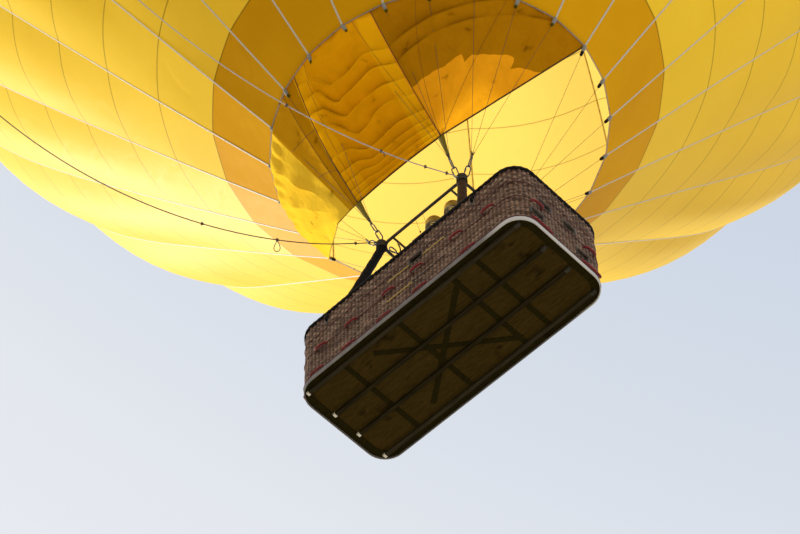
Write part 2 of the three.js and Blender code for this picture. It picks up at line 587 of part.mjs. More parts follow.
// Base: hide-bound band, timber rim, floor board, braces and runners
{
  const [halfX, halfY] = [BASKET.length / 2, BASKET.width / 2];
  add('base_band', ring(halfX, halfY, BASKET.corner, BAND.thick, BAND.low, BAND.high), HIDE);
  const step = BAND.thick + TOUCH;
  add('base_rim', ring(halfX - step, halfY - step, BASKET.corner - step, BASE_RIM.width, BASE_RIM.low, BASE_RIM.high), TIMBER);
  const inside = step + BASE_RIM.width + TOUCH;
  const board = roundedRectangle(halfX - inside, halfY - inside, BASKET.corner - inside);
  add('floor_board', slab(board, BOARD.low, BOARD.low + BOARD.thick), TIMBER);
  const low = BRACE.low;
  const span = halfY - inside - TOUCH;
  const bar = (x) => block(x - BRACE.width / 2, x + BRACE.width / 2, -span, span, low, BRACE.high);
  END_BAR_X.forEach((x, i) => add(`cross_bar_${i + 1}`, bar(x), TIMBER));
  const diagonals = X_BRACE.map(([x0, y0, x1, y1]) => {
    const run = Math.hypot(x1 - x0, y1 - y0);
    return block(-run / 2, run / 2, -BRACE.width / 2, BRACE.width / 2, low, BRACE.high)
      .rotateZ(Math.atan2(y1 - y0, x1 - x0)).translate((x0 + x1) / 2, (y0 + y1) / 2, 0);
  });
  add('floor_braces', join([...BRACED_BAR_X.map(bar), ...diagonals]), TIMBER);
  RUNNER_Y.forEach((y, i) => {
    const half = RUNNER.width / 2;
    const tube = block(RUNNER.from, RUNNER.to, y - half, y + half, 0, RUNNER.high);
    const hollow = block(RUNNER.from - 10, RUNNER.to + 10, y - half + RUNNER.wall, y + half - RUNNER.wall,
      RUNNER.wall, RUNNER.high - RUNNER.wall);
    add(`runner_${i + 1}`, cut(tube, [hollow]), STEEL);
  });
}

// Partitions: a wall across each side of the pilot's bay, with a wall down the middle of each end
{
  const low = BOARD.low + BOARD.thick + TOUCH;
  const endX = BASKET.length / 2 - WALL.inset - WALL.thick - TOUCH;
  const endY = BASKET.width / 2 - WALL.inset - WALL.thick - TOUCH;
  const half = PARTITION.thick / 2;
  [-1, 1].forEach((side, i) => {
    const span = (from, to) => [side * from, side * to].sort((a, b) => a - b);
    const across = block(...span(PILOT_BAY / 2, PILOT_BAY / 2 + PARTITION.thick), -endY, endY,
      PARTITION.low, PARTITION.top);
    const along = block(...span(PILOT_BAY / 2 + half, endX), -half, half, PARTITION.low, PARTITION.top);
    const feet = block(...span(PILOT_BAY / 2, endX - PARTITION.footEnd), -half, half,
      low, PARTITION.low + PARTITION.bite);
    add(`partition_${i + 1}`, join([across, along, feet]), WICKER);
  });
}

// Fuel cylinders stand in the corners of the pilot's bay
CORNERS.forEach(([sx, sy], i) => {
  const low = BOARD.low + BOARD.thick + TOUCH;
  const high = low + CYLINDER.height;
  const v = (r, up) => new THREE.Vector2(r, up);
  const { radius, foot, collarRadius, collarWall } = CYLINDER;
  const outline = [
    v(0, low), v(radius - foot, low), v(radius - foot, low + CYLINDER.footHigh), v(radius, low + CYLINDER.soften),
    v(radius, high - CYLINDER.shoulder), v(radius - CYLINDER.footHigh, high - CYLINDER.neck),
    v(collarRadius, high - CYLINDER.collarLow), v(collarRadius, high), v(collarRadius - collarWall, high),
    v(collarRadius - collarWall, high - CYLINDER.dome), v(0, high - CYLINDER.dome),
  ];
  add(`fuel_cylinder_${i + 1}`, new THREE.LatheGeometry(outline, 16).rotateX(Math.PI / 2)
    .translate(sx * CYLINDER.x, sy * CYLINDER.y, 0), CYLINDER_COVER);
});

export default balloon;
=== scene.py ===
import json
import math
from math import cos, pi, radians, sin

import bmesh
import bpy
from mathutils import Euler, Matrix, Vector, noise

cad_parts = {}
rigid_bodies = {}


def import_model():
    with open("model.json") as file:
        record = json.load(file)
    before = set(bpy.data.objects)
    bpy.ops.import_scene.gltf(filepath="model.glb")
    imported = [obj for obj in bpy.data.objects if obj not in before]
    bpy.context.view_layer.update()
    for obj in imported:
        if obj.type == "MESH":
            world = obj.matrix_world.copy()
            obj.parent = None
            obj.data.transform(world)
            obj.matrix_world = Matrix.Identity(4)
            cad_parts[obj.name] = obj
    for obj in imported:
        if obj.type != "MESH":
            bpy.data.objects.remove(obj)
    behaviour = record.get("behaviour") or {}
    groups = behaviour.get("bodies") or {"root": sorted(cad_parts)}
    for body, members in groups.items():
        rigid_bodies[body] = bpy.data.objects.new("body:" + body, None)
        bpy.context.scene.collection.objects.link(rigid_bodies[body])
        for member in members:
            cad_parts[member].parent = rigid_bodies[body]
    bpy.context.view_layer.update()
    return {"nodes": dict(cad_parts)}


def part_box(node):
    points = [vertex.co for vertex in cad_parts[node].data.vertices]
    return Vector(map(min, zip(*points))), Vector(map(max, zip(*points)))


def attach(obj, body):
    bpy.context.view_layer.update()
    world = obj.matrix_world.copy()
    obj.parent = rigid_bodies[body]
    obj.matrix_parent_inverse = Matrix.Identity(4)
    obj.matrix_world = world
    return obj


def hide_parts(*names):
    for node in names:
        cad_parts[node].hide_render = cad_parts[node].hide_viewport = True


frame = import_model()

# Studio. The camera stands on a plain pale floor far below the balloon and looks up at it with a long lens.
# The sky is an even pale grey-blue. A low key light from behind the left of the balloon makes the cloth
# glow from inside, and a weak wide light from the other side fills the shade.
LIFT = 18.5
FLOOR_HEIGHT = -43.2
CAMERA_PLACE = (11.286, -13.046, -43.067)
CAMERA_TILT, CAMERA_ROUND, CAMERA_ROLL = radians(90 + 56.652), radians(42.718), radians(-1.629)
camera_data = bpy.data.cameras.new("camera")
camera_data.lens = 117.16
camera_data.sensor_width = 36
camera_data.clip_end = 500
camera = bpy.data.objects.new("camera", camera_data)
bpy.context.scene.collection.objects.link(camera)
camera_turn = Euler((CAMERA_TILT, 0, CAMERA_ROUND)).to_matrix() @ Matrix.Rotation(CAMERA_ROLL, 3, "Z")
camera.matrix_world = Matrix.Translation(CAMERA_PLACE) @ camera_turn.to_4x4()
bpy.context.scene.camera = camera
bpy.context.scene.view_settings.view_transform = "Standard"


def deselect_all():
    for other in bpy.context.view_layer.objects:
        other.select_set(False)


def tree_tools(tree):
    """Two tools for a node tree: add makes a node with its values, and wire links outputs to inputs."""

    def add(kind, inputs=(), **settings):
        node = tree.nodes.new("ShaderNode" + kind)
        for setting, value in settings.items():
            setattr(node, setting, value)
        for socket, value in dict(inputs).items():
            node.inputs[socket].default_value = value
        return node

    def wire(*runs):
        for giver, given, taker, taken in runs:
            tree.links.new(giver.outputs[given], taker.inputs[taken])

    return add, wire


def new_finish(name, values):
    """A new material with values for its main shader, the tools for its nodes, and that shader."""
    made = bpy.data.materials.new(name)
    made.use_nodes = True
    shader = made.node_tree.nodes["Principled BSDF"]
    for socket, value in values.items():
        shader.inputs[socket].default_value = value
    return made, *tree_tools(made.node_tree), shader


def ramp_of(add, *stops):
    """A colour ramp from (place, colour) pairs."""
    ramp = add("ValToRGB")
    while len(ramp.color_ramp.elements) < len(stops):
        ramp.color_ramp.elements.new(0.5)
    for element, (place, colour) in zip(ramp.color_ramp.elements, stops):
        element.position = place
        element.color = (*colour, 1)
    return ramp


def mottled(name, dark, light, scale, roughness, metallic=0.0, relief=0.0005, grain=40.0, stretch=(1, 1, 1),
            specular=0.3):
    """A finish that varies between two colours, with a fine grain raised from it, and uneven gloss."""
    made, add, wire, shader = new_finish(name, {"Roughness": roughness, "Metallic": metallic,
                                                "Specular IOR Level": specular})
    place = add("TexCoord")
    mapping = add("Mapping", {"Scale": stretch})
    patches = add("TexNoise", {"Scale": scale, "Detail": 5, "Roughness": 0.6})
    colours = ramp_of(add, (0.3, dark), (0.7, light))
    fine = add("TexNoise", {"Scale": grain, "Detail": 3})
    bump = add("Bump", {"Distance": relief, "Strength": 1})
    gloss = add("MapRange", {"To Min": max(0.05, roughness - 0.12), "To Max": min(1.0, roughness + 0.12)})
    wire((place, "Object", mapping, "Vector"), (mapping, "Vector", patches, "Vector"),
         (mapping, "Vector", fine, "Vector"), (patches, "Fac", colours, "Fac"),
         (colours, "Color", shader, "Base Color"), (fine, "Fac", bump, "Height"),
         (bump, "Normal", shader, "Normal"), (fine, "Fac", gloss, "Value"),
         (gloss, "Result", shader, "Roughness"))
    return made


def sun(name, source, strength, degrees_wide, colour):
    """A sun light that shines from the given side."""
    data = bpy.data.lights.new(name, "SUN")
    data.energy = strength
    data.angle = radians(degrees_wide)
    data.color = colour
    light = bpy.data.objects.new(name, data)
    bpy.context.scene.collection.objects.link(light)
    light.matrix_world = Vector(source).to_track_quat("Z", "Y").to_matrix().to_4x4()


deselect_all()
bpy.ops.mesh.primitive_plane_add(size=240, location=(0, 0, FLOOR_HEIGHT))
floor = bpy.context.active_object
floor.name = "floor"
bpy.ops.object.transform_apply(location=True, rotation=True, scale=True)
floor.data.materials.append(mottled("pale floor", (0.50, 0.50, 0.49), (0.56, 0.56, 0.55), 0.2, 0.8,
                                    relief=0.0))
floor.visible_diffuse = False
sun("key light", (-0.937, 0.251, 0.242), 6.0, 4, (1.0, 0.96, 0.88))
sun("fill light", (0.65, 0.60, -0.47), 0.85, 60, (1.0, 0.99, 0.95))

sky = bpy.data.worlds.new("pale sky")
bpy.context.scene.world = sky
sky.use_nodes = True
sky_add, sky_wire = tree_tools(sky.node_tree)
sky_place = sky_add("TexCoord")
sky_tilt = sky_add("VectorMath", {1: (0.22, 0.20, 1.0)}, operation="DOT_PRODUCT")
sky_height = sky_add("MapRange", {"From Min": -1})
sky_ramp = ramp_of(sky_add, (0.30, (0.54, 0.49, 0.37)), (0.48, (0.70, 0.67, 0.62)),
                   (0.52, (0.80, 0.82, 0.87)), (0.862, (0.80, 0.82, 0.87)), (0.882, (0.768, 0.799, 0.855)),
                   (0.912, (0.675, 0.728, 0.807)), (0.94, (0.61, 0.675, 0.79)))
background = sky.node_tree.nodes["Background"]
sky_wire((sky_place, "Generated", sky_tilt, 0), (sky_tilt, "Value", sky_height, "Value"),
         (sky_height, "Result", sky_ramp, "Fac"), (sky_ramp, "Color", background, "Color"))

# Crown ropes. Two braided ropes are tied to the near corners of the load frame, hang in a long free bow,
# and then lie on the envelope up to the ring at its crown. One has four knots tied in it, the other two and
# a bight. The envelope's own curve is worked out here first, because the ropes lie on it.
Z = Vector((0, 0, 1))
MERIDIAN_STEP = 0.05
COURSE = 1.317
GORES, GORE_ANGLE, FIRST_TAPE = 24, 15.0, 7.5
MOUTH_RADIUS, MOUTH_HEIGHT, MOUTH_LEAN = 2.21, 4.56, radians(37.3)
OVAL, OVAL_RISE = 0.088, 15.44
meridian = []
ring_radius, ring_height, lean = MOUTH_RADIUS, MOUTH_HEIGHT, MOUTH_LEAN
while ring_radius > 0.08:
    meridian.append((ring_radius, ring_height, lean))
    lean_next = lean - 9.5e-4 * ring_radius * max(0.0, ring_height - 8.9) * MERIDIAN_STEP
    ring_radius += sin((lean + lean_next) / 2) * MERIDIAN_STEP
    ring_height += cos((lean + lean_next) / 2) * MERIDIAN_STEP
    lean = lean_next
CROWN_ALONG = (len(meridian) - 1) * MERIDIAN_STEP
VENT_ALONG = max(i for i, m in enumerate(meridian) if m[1] > 20 and m[0] > 2.7) * MERIDIAN_STEP


def smooth_step(value, low, high):
    share = min(1.0, max(0.0, (value - low) / (high - low)))
    return share * share * (3 - 2 * share)


def on_skin(along, degrees, lift=0.0, bulge=0.0, shift=0.0):
    """The point of the envelope at a distance along the cloth from the mouth, lifted off it by so much."""
    index = min(along / MERIDIAN_STEP, len(meridian) - 1.001)
    low, high, share = meridian[int(index)], meridian[int(index) + 1], index - int(index)
    radius, height, slope = (a + (b - a) * share for a, b in zip(low, high))
    rise = min(1.0, max(0.0, (height - MOUTH_HEIGHT) / OVAL_RISE))
    stretch = OVAL * (1 - rise) ** 2 / 2
    out = radius + (bulge * radius + lift) * cos(slope)
    up = height - (bulge * radius + lift) * sin(slope)
    c, s = cos(radians(degrees)), sin(radians(degrees))
    return Vector((out * (1 + stretch) * c - shift * s, out * (1 - stretch) * s + shift * c, up - LIFT))


def bulge_at(along):
    """How far the cloth bellies out between its tapes, as a share of the radius."""
    chord = 1 - cos(radians(GORE_ANGLE / 2))
    fade = 1 - smooth_step(along, VENT_ALONG - 3 * COURSE, VENT_ALONG)
    return (smooth_step(along, 0, 6 * COURSE) * (0.016 + chord) - chord) * fade


def steps(start, end, count):
    return [start + (end - start) * i / count for i in range(count + 1)]


def smooth_path(points, per_span):
    """Points along a smooth curve through the given ones."""
    path = []
    for i in range(len(points) - 1):
        p0, p1, p2, p3 = (points[max(0, min(len(points) - 1, j))] for j in (i - 1, i, i + 1, i + 2))
        for k in range(per_span):
            t = k / per_span
            path.append(0.5 * (2 * p1 + (p2 - p0) * t + (2 * p0 - 5 * p1 + 4 * p2 - p3) * t * t
                               + (3 * p1 - p0 - 3 * p2 + p3) * t ** 3))
    return path + [points[-1].copy()]


def hoop(centre, across, along, count):
    """Points round an ellipse with the two given half axes."""
    return [centre + across * cos(t) + along * sin(t) for t in (2 * pi * k / count for k in range(count))]


def shell(rings, alongs, arounds, closed=False, end_uvs=((0, 0), (0, 0))):
    """Faces round a row of rings of points, with UVs from the places along and around, and flat ends."""
    count, sides = len(rings), len(rings[0])
    faces, uvs = [], []
    for i in range(count if closed else count - 1):
        for k in range(sides):
            nxt, around = (i + 1) % count, (k + 1) % sides
            faces.append((i * sides + k, i * sides + around, nxt * sides + around, nxt * sides + k))
            a, b = arounds[k]
            uvs.append(((alongs[i], a), (alongs[i], b), (alongs[i + 1], b), (alongs[i + 1], a)))
    for ring, order, uv in zip((0, count - 1), (-1, 1), end_uvs):
        faces.append([ring * sides + k for k in range(sides)][::order])
        uvs.append([uv] * sides)
    return [p for ring in rings for p in ring], faces, uvs


def tube(points, radius, sides=8, closed=False):
    """A round tube along the points; its UV is metres along it and once round it. The radius may vary."""
    points = [Vector(p) for p in points]
    count = len(points)
    radii = radius if hasattr(radius, "__len__") else [radius] * count
    rings, gone, side = [], [0.0], None
    for i, p in enumerate(points):
        before = points[i - 1] if i or closed else p
        after = points[(i + 1) % count] if i < count - 1 or closed else p
        run = (after - before).normalized()
        if side is None:
            side = run.orthogonal().normalized()
        side = (side - run * side.dot(run)).normalized()
        rings.append(hoop(p, side * radii[i], run.cross(side) * radii[i], sides))
        if i:
            gone.append(gone[-1] + (p - points[i - 1]).length)
    if closed:
        gone.append(gone[-1] + (points[0] - points[-1]).length)
    arounds = [(k / sides, (k + 1) / sides) for k in range(sides)]
    return shell(rings, gone, arounds, closed, () if closed else ((gone[0], 0.5), (gone[-1], 0.5)))


def make_piece(name, parts, finish, body="root", smooth=True):
    """One object out of (points, faces, UVs) parts, riding on its body."""
    verts, faces, corners = [], [], []
    for part_verts, part_faces, part_uvs in parts:
        start = len(verts)
        verts.extend(tuple(p) for p in part_verts)
        faces.extend([start + i for i in face] for face in part_faces)
        for uv in part_uvs:
            corners.extend(value for corner in uv for value in corner)
    mesh = bpy.data.meshes.new(name)
    mesh.from_pydata(verts, [], faces)
    layer = mesh.uv_layers.new(name="UVMap")
    layer.data.foreach_set("uv", corners)
    mesh.materials.append(finish)
    if smooth:
        mesh.shade_smooth()
    piece = bpy.data.objects.new(name, mesh)
    bpy.context.scene.collection.objects.link(piece)
    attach(piece, body)
    return piece


def laid_rope(name, dark, light, pitch):
    """Rope finish: three slanting strands round the piece, from its UV, with painted shade in the grooves."""
    made, add, wire, shader = new_finish(name, {"Roughness": 0.85, "Sheen Weight": 0.2})
    place = add("TexCoord")
    split = add("SeparateXYZ")
    along = add("Math", {1: pitch}, operation="DIVIDE")
    around = add("Math", {1: 3}, operation="MULTIPLY_ADD")
    lay = add("Math", {1: 0.5}, operation="PINGPONG")
    # Painted shade: dark in the grooves between strands, light on their crowns.
    shade = ramp_of(add, (0.05, dark), (0.45, light))
    bump = add("Bump", {"Distance": 0.0012})
    wire((place, "UV", split, "Vector"), (split, "X", along, 0), (split, "Y", around, 0),
         (along, 0, around, 2), (around, 0, lay, 0), (lay, 0, shade, "Fac"),
         (shade, "Color", shader, "Base Color"), (lay, 0, bump, "Height"),
         (bump, "Normal", shader, "Normal"))
    return made


def knot_at(centre, run, size, radius):
    """A stopper knot: a trefoil of the rope itself, drawn tight round the point."""
    side = run.orthogonal().normalized()
    other = run.cross(side)
    turns = []
    for k in range(36):
        t = 2 * pi * k / 36
        a, b, c = sin(t) + 2 * sin(2 * t), cos(t) - 2 * cos(2 * t), -sin(3 * t)
        turns.append(centre + (side * a * 0.33 + run * b * 0.33 + other * c * 0.45) * size)
    return tube(turns, radius, 6, closed=True)


def hanging_loop(top, drop, width):
    """The line of a bight of rope that hangs from a point."""
    across = Vector((0.7, 0.7, 0))
    bends = [pi * (share - 0.5) for share in steps(0, 1, 30)]
    return [top + across * sin(2 * t) * width * 0.5 - Z * drop * cos(t) for t in bends]


def point_along(path, far):
    """The first point of a path past a distance from its start, and the way that the path runs there."""
    gone = 0.0
    for a, b in zip(path, path[1:]):
        gone += (b - a).length
        if gone > far:
            break
    return b, (b - a).normalized()


ROPE_RADIUS = 0.007
TIED_RADIUS = 0.0055
RING_LASHED_AT = 0.2053
pale_rope = laid_rope("pale braided rope", (0.30, 0.25, 0.21), (0.62, 0.56, 0.50), 0.04)
dark_rope = laid_rope("dark braided rope", (0.035, 0.022, 0.012), (0.11, 0.075, 0.045), 0.04)
FRAME_X, FRAME_Y, FRAME_TOP = 0.68, 0.41, 2.38
CROWN_ROPES = [
    # corner's signs, degrees round, lands on the skin, finish, slot, knots and loops at metres from its start
    ((1, -1), -105, 16.4, pale_rope, "pale_rope", [0.957, 0.12, 0.49, 2.221], []),
    ((-1, -1), -120, 16.8, dark_rope, "dark_rope", [2.274, 0.326], [1.369]),
]
for rope_number, (signs, degrees, lands, finish, slot, knots, loops) in enumerate(CROWN_ROPES, 1):
    cap_point = Vector((signs[0] * FRAME_X, signs[1] * FRAME_Y, FRAME_TOP - LIFT))


    def lying(along):
        return on_skin(along, degrees, 0.016, bulge_at(along))


    landing = lying(lands)
    outward = Vector((landing.x - cap_point.x, landing.y - cap_point.y, 0)).normalized()
    rope_start = cap_point + outward * 0.0623
    rope_foot = rope_start + outward * 0.045
    climb = lying(lands + MERIDIAN_STEP) - landing
    slope = climb.z / math.hypot(climb.x, climb.y)
    reach = math.hypot(landing.x - rope_foot.x, landing.y - rope_foot.y)


    def bow(scale, x):
        """The height over its foot of a rope that hangs free and meets the envelope along its slope."""
        lowest = reach - scale * math.asinh(slope)
        return scale * (math.cosh((x - lowest) / scale) - math.cosh(lowest / scale))


    low_scale, high_scale = 2.0, 9.0
    while high_scale - low_scale > 1e-5:
        middle = (low_scale + high_scale) / 2
        if bow(middle, reach) < landing.z - rope_foot.z:
            low_scale = middle
        else:
            high_scale = middle
    free_places = [reach * sin(share * pi / 2) for share in steps(0, 1, 24)[:-1]]
    hanging = [rope_foot + outward * x + Z * bow(low_scale, x) for x in free_places]
    ring_along = CROWN_ALONG - (RING_LASHED_AT - meridian[-1][0])
    on_cloth = [lying(along) for along in steps(lands, ring_along - 0.5, 20)]
    path = smooth_path([rope_start] + hanging + on_cloth + [on_skin(ring_along, degrees, 0.0085)], 5)
    rope = make_piece(f"crown_rope_{rope_number}_laid", [tube(path, ROPE_RADIUS)], finish)
    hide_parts(f"crown_rope_{rope_number}")
    for place_number, far in enumerate(knots, 1):
        point, run = point_along(path, far)
        shape = [knot_at(point, run, 0.02, TIED_RADIUS)]
        if place_number == 1 and rope_number == 1:
            tail = point + Vector((0.03, 0.02, -0.12))
            shape.append(tube([point, (point + tail) / 2 + Vector((0.01, 0.01, 0)), tail], 0.0065, 6))
        piece_name = f"crown_rope_{rope_number}_knot_{place_number}"
        make_piece(piece_name, shape, dark_rope)
    for place_number, far in enumerate(loops, 1):
        knot = knot_at(*point_along(path, far), 0.02, TIED_RADIUS)
        piece_name = f"crown_rope_{rope_number}_loop_{place_number}"
        make_piece(piece_name, [knot], dark_rope)
    for place_number, far in enumerate(loops, 1):
        bight = hanging_loop(point_along(path, far)[0] - Z * 0.01, 0.245, 0.075)
        piece_name = f"crown_rope_{rope_number}_bight_{place_number}"
        loop = make_piece(piece_name, [tube(bight, TIED_RADIUS, 6)], dark_rope)

# Envelope cloth. Twenty-four gores of coated ripstop nylon, sewn from level courses, bellying out between
# their tapes. Three gores at a time make one panel. The cloth lets the light through, so it glows inside
# and out.
GORES_PER_PANEL = 3
CLOTH_STEPS = 8
CLOTH_INSET = -0.002


def lit_through(made, add, wire, shader, bump, tint, glow):
    """Gives a cloth its bump and lets a share of the light through it in a tint."""
    back = add("BsdfTranslucent")
    both = add("MixShader", {"Fac": glow})
    wire((tint, "Result", back, "Color"), (bump, "Normal", shader, "Normal"),
         (bump, "Normal", back, "Normal"), (shader, "BSDF", both, 1), (back, "BSDF", both, 2),
         (both, "Shader", made.node_tree.nodes["Material Output"], "Surface"))


def sewn_cloth(name, colours, seam, through, glow, specular, course=COURSE, line=0.008, sheen=0.03):
    """Thin coated cloth: course seams across its UV, small creases, and light that comes through it."""
    made, add, wire, shader = new_finish(name, {"Roughness": 0.5, "Sheen Weight": sheen,
                                                "Sheen Roughness": 0.4, "Specular IOR Level": specular})
    place = add("TexCoord")
    split = add("SeparateXYZ")
    patches = add("TexNoise", {"Scale": 0.55, "Detail": 4})
    colour = ramp_of(add, (0.35, colours[0]), (0.65, colours[1]))
    from_seam = add("Math", {1: course / 2}, operation="PINGPONG")
    on_seam = add("MapRange", {"From Min": line, "From Max": line * 1.8, "To Min": 1, "To Max": 0})
    from_tape = add("Math", {1: 0.5}, operation="PINGPONG")
    on_tape = add("MapRange", {"From Min": 0.004, "From Max": 0.009, "To Min": 1, "To Max": 0})
    sewn = add("Math", operation="MAXIMUM")
    tinted = add("Mix", {"B": (*seam, 1)}, data_type="RGBA")
    wrinkles = add("TexNoise", {"Scale": 2.2, "Detail": 6, "Distortion": 0.8})
    ridge = add("Math", {1: 0.1}, operation="MULTIPLY_ADD")
    bump = add("Bump", {"Distance": 0.02, "Strength": 0.5})
    thick = add("Mix", {"A": (*through, 1), "B": (*[value * 0.55 for value in through], 1)}, data_type="RGBA")
    wire((place, "UV", split, "Vector"), (place, "Object", patches, "Vector"),
         (place, "Object", wrinkles, "Vector"), (patches, "Fac", colour, "Fac"), (split, "Y", from_seam, 0),
         (from_seam, 0, on_seam, "Value"), (split, "X", from_tape, 0), (from_tape, 0, on_tape, "Value"),
         (on_seam, "Result", sewn, 0), (on_tape, "Result", sewn, 1), (sewn, 0, tinted, "Factor"),
         (colour, "Color", tinted, "A"), (tinted, "Result", shader, "Base Color"),
         (on_seam, "Result", ridge, 0), (wrinkles, "Fac", ridge, 2), (ridge, 0, bump, "Height"),
         (sewn, 0, thick, "Factor"))
    lit_through(made, add, wire, shader, bump, thick, glow)
    return made


def grid_part(rows, uv_rows):
    """Faces between rows of points, with the same UV rows."""
    wide = len(rows[0])
    verts = [p for row in rows for p in row]
    faces, uvs = [], []
    for r in range(len(rows) - 1):
        for c in range(wide - 1):
            faces.append((r * wide + c, r * wide + c + 1, (r + 1) * wide + c + 1, (r + 1) * wide + c))
            uvs.append((uv_rows[r][c], uv_rows[r][c + 1], uv_rows[r + 1][c + 1], uv_rows[r + 1][c]))
    return verts, faces, uvs


def gore_rows(alongs, first_gore, gores):
    """Rows of points over a run of gores, each bellying between its tapes."""
    acrosses = [first_gore + step / CLOTH_STEPS for step in range(gores * CLOTH_STEPS + 1)]
    rows = [[on_skin(along, FIRST_TAPE + across * GORE_ANGLE, CLOTH_INSET,
                     bulge_at(along) * sin(pi * (across % 1))) for across in acrosses] for along in alongs]
    return rows, [[(across, along) for across in acrosses] for along in alongs]


def crease_tapes(piece, wide):
    """The cloth turns a corner at each tape, so the edges that run up the tapes are sharp."""
    for edge in piece.data.edges:
        low, high = edge.vertices
        if low % wide == high % wide and low % wide % CLOTH_STEPS == 0:
            edge.use_edge_sharp = True


yellow_cloth = sewn_cloth("yellow ripstop cloth", ((0.88, 0.635, 0.020), (0.94, 0.69, 0.030)),
                          (0.50, 0.35, 0.01), (0.92, 0.71, 0.175), 0.38, 0.08, line=0.010, sheen=0.05)
for panel in range(GORES // GORES_PER_PANEL):
    rows, uv_rows = gore_rows(steps(COURSE, VENT_ALONG, 118), panel * GORES_PER_PANEL, GORES_PER_PANEL)
    cloth = make_piece(f"envelope_cloth_{panel + 1}", [grid_part(rows, uv_rows)], yellow_cloth)
    crease_tapes(cloth, len(rows[0]))
    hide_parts(f"envelope_panel_{panel + 1}")

# Mouth band. The lowest course is uncoated heat-resistant cloth, orange-brown and nearly opaque, flat
# between its tapes, with a grey binding tape sewn round the mouth's edge.
band_cloth = sewn_cloth("orange heat cloth", ((0.60, 0.30, 0.003), (0.69, 0.355, 0.004)), (0.20, 0.10, 0.004),
                        (0.90, 0.50, 0.010), 0.13, 0.02, sheen=0.0)
rows, uv_rows = gore_rows(steps(0, COURSE, 8), 0, GORES)
band = make_piece("mouth_band_cloth", [grid_part(rows, uv_rows)], band_cloth)
crease_tapes(band, len(rows[0]))
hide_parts("mouth_band_1", "mouth_band_2", "mouth_band_3", "mouth_band_4")
binding = sewn_cloth("mouth binding", ((0.34, 0.32, 0.26), (0.48, 0.45, 0.38)), (0.1, 0.1, 0.1),
                     (0.95, 0.88, 0.76), 0.7, 0.05, course=90.0)
mouth_edge = [on_skin(0.0, FIRST_TAPE + across * GORE_ANGLE, -0.004, bulge_at(0.0) * sin(pi * (across % 1)))
              for across in (step / 4 for step in range(GORES * 4))]
make_piece("mouth_edge_tape", [tube(mouth_edge, 0.010, 6, closed=True)], binding)

# Load tapes. Strong webbing is sewn over every gore seam, from a loop below the mouth's edge right up over
# the vent's opening to the alloy ring at the crown, and carries the whole load.
WEB_PITCH = 0.006
RING_RADIUS = 0.17


def webbing(name, dark, light):
    """Woven tape: fine ribs along and across it."""
    made, add, wire, shader = new_finish(name, {"Roughness": 0.7, "Specular IOR Level": 0.15,
                                                "Sheen Weight": 0.05})
    place = add("TexCoord")
    mixed = [a * 0.85 + b * 0.15 for a, b in zip(light, dark)]
    weave = add("TexBrick", {"Color1": (*light, 1), "Color2": (*mixed, 1), "Mortar": (*dark, 1),
                             "Scale": 1 / WEB_PITCH, "Mortar Size": 0.04, "Brick Width": 1.0,
                             "Row Height": 0.5})
    bump = add("Bump", {"Distance": 0.0006}, invert=True)
    wire((place, "UV", weave, "Vector"), (weave, "Color", shader, "Base Color"),
         (weave, "Fac", bump, "Height"), (bump, "Normal", shader, "Normal"))
    return made


def strip_part(alongs, degrees, width, lift, thick):
    """A flat tape that follows the envelope: a low closed box section."""
    half = width / 2
    corners = ((-half, lift), (-half * 0.7, lift + thick), (half * 0.7, lift + thick), (half, lift))
    rings = [[on_skin(along, degrees, up, 0.0, side) for side, up in corners] for along in alongs]
    sides = [side for side, _ in corners]
    return shell(rings, alongs, list(zip(sides, sides[1:] + sides[:1])))


def tape_parts(alongs, width, lift, thick):
    return [strip_part(alongs, FIRST_TAPE + tape * GORE_ANGLE, width, lift, thick) for tape in range(GORES)]


pale_tape = webbing("pale load tape", (0.42, 0.36, 0.28), (0.72, 0.66, 0.56))
side_tapes = tape_parts(steps(-0.004, VENT_ALONG, 112), 0.026, -0.0015, 0.0045)
make_piece("load_tapes", side_tapes, pale_tape, smooth=False)
top_tapes = tape_parts(steps(VENT_ALONG, CROWN_ALONG - 0.07, 12), 0.045, -0.003, 0.006)
crown_webs = make_piece("crown_webs", top_tapes, pale_tape, smooth=False)
brushed_alloy = mottled("brushed alloy", (0.42, 0.42, 0.41), (0.62, 0.62, 0.60), 9, 0.34, 0.9, 0.0001, 400)
ring_centre = Z * (meridian[-1][1] - LIFT)
deselect_all()
bpy.ops.mesh.primitive_torus_add(major_radius=RING_RADIUS, minor_radius=0.011, major_segments=64,
                                 minor_segments=10, location=ring_centre)
crown_ring = bpy.context.active_object
crown_ring.name = "crown_ring"
bpy.ops.object.transform_apply(location=True, rotation=True, scale=True)
bpy.ops.object.shade_smooth()
crown_ring.data.materials.append(brushed_alloy)
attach(crown_ring, "root")
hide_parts("crown_tapes")
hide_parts("crown_tapes")
turns = []
for tape in range(GORES):
    angle = radians(FIRST_TAPE + tape * GORE_ANGLE)
    flat = Vector((cos(angle), sin(angle), 0))
    lashing = hoop(ring_centre + flat * RING_RADIUS, flat * 0.019, Z * 0.0165, 14)
    turns.append(tube(lashing, 0.0048, 6, closed=True))
make_piece("crown_ring_lashing", turns, pale_tape)

# Vent. A round parachute panel of the same cloth closes the crown from inside, held up by the hot air.
# Its edge lies under the rim of the opening, and it is puffed a little between the tapes.
VENT_RIM_ALONG = VENT_ALONG - 0.35
VENT_DEPTH = 0.024
vent_cloth = sewn_cloth("vent cloth", ((0.85, 0.64, 0.02), (0.90, 0.70, 0.03)), (0.50, 0.34, 0.01),
                        (0.93, 0.68, 0.09), 0.36, 0.12, course=1.2)


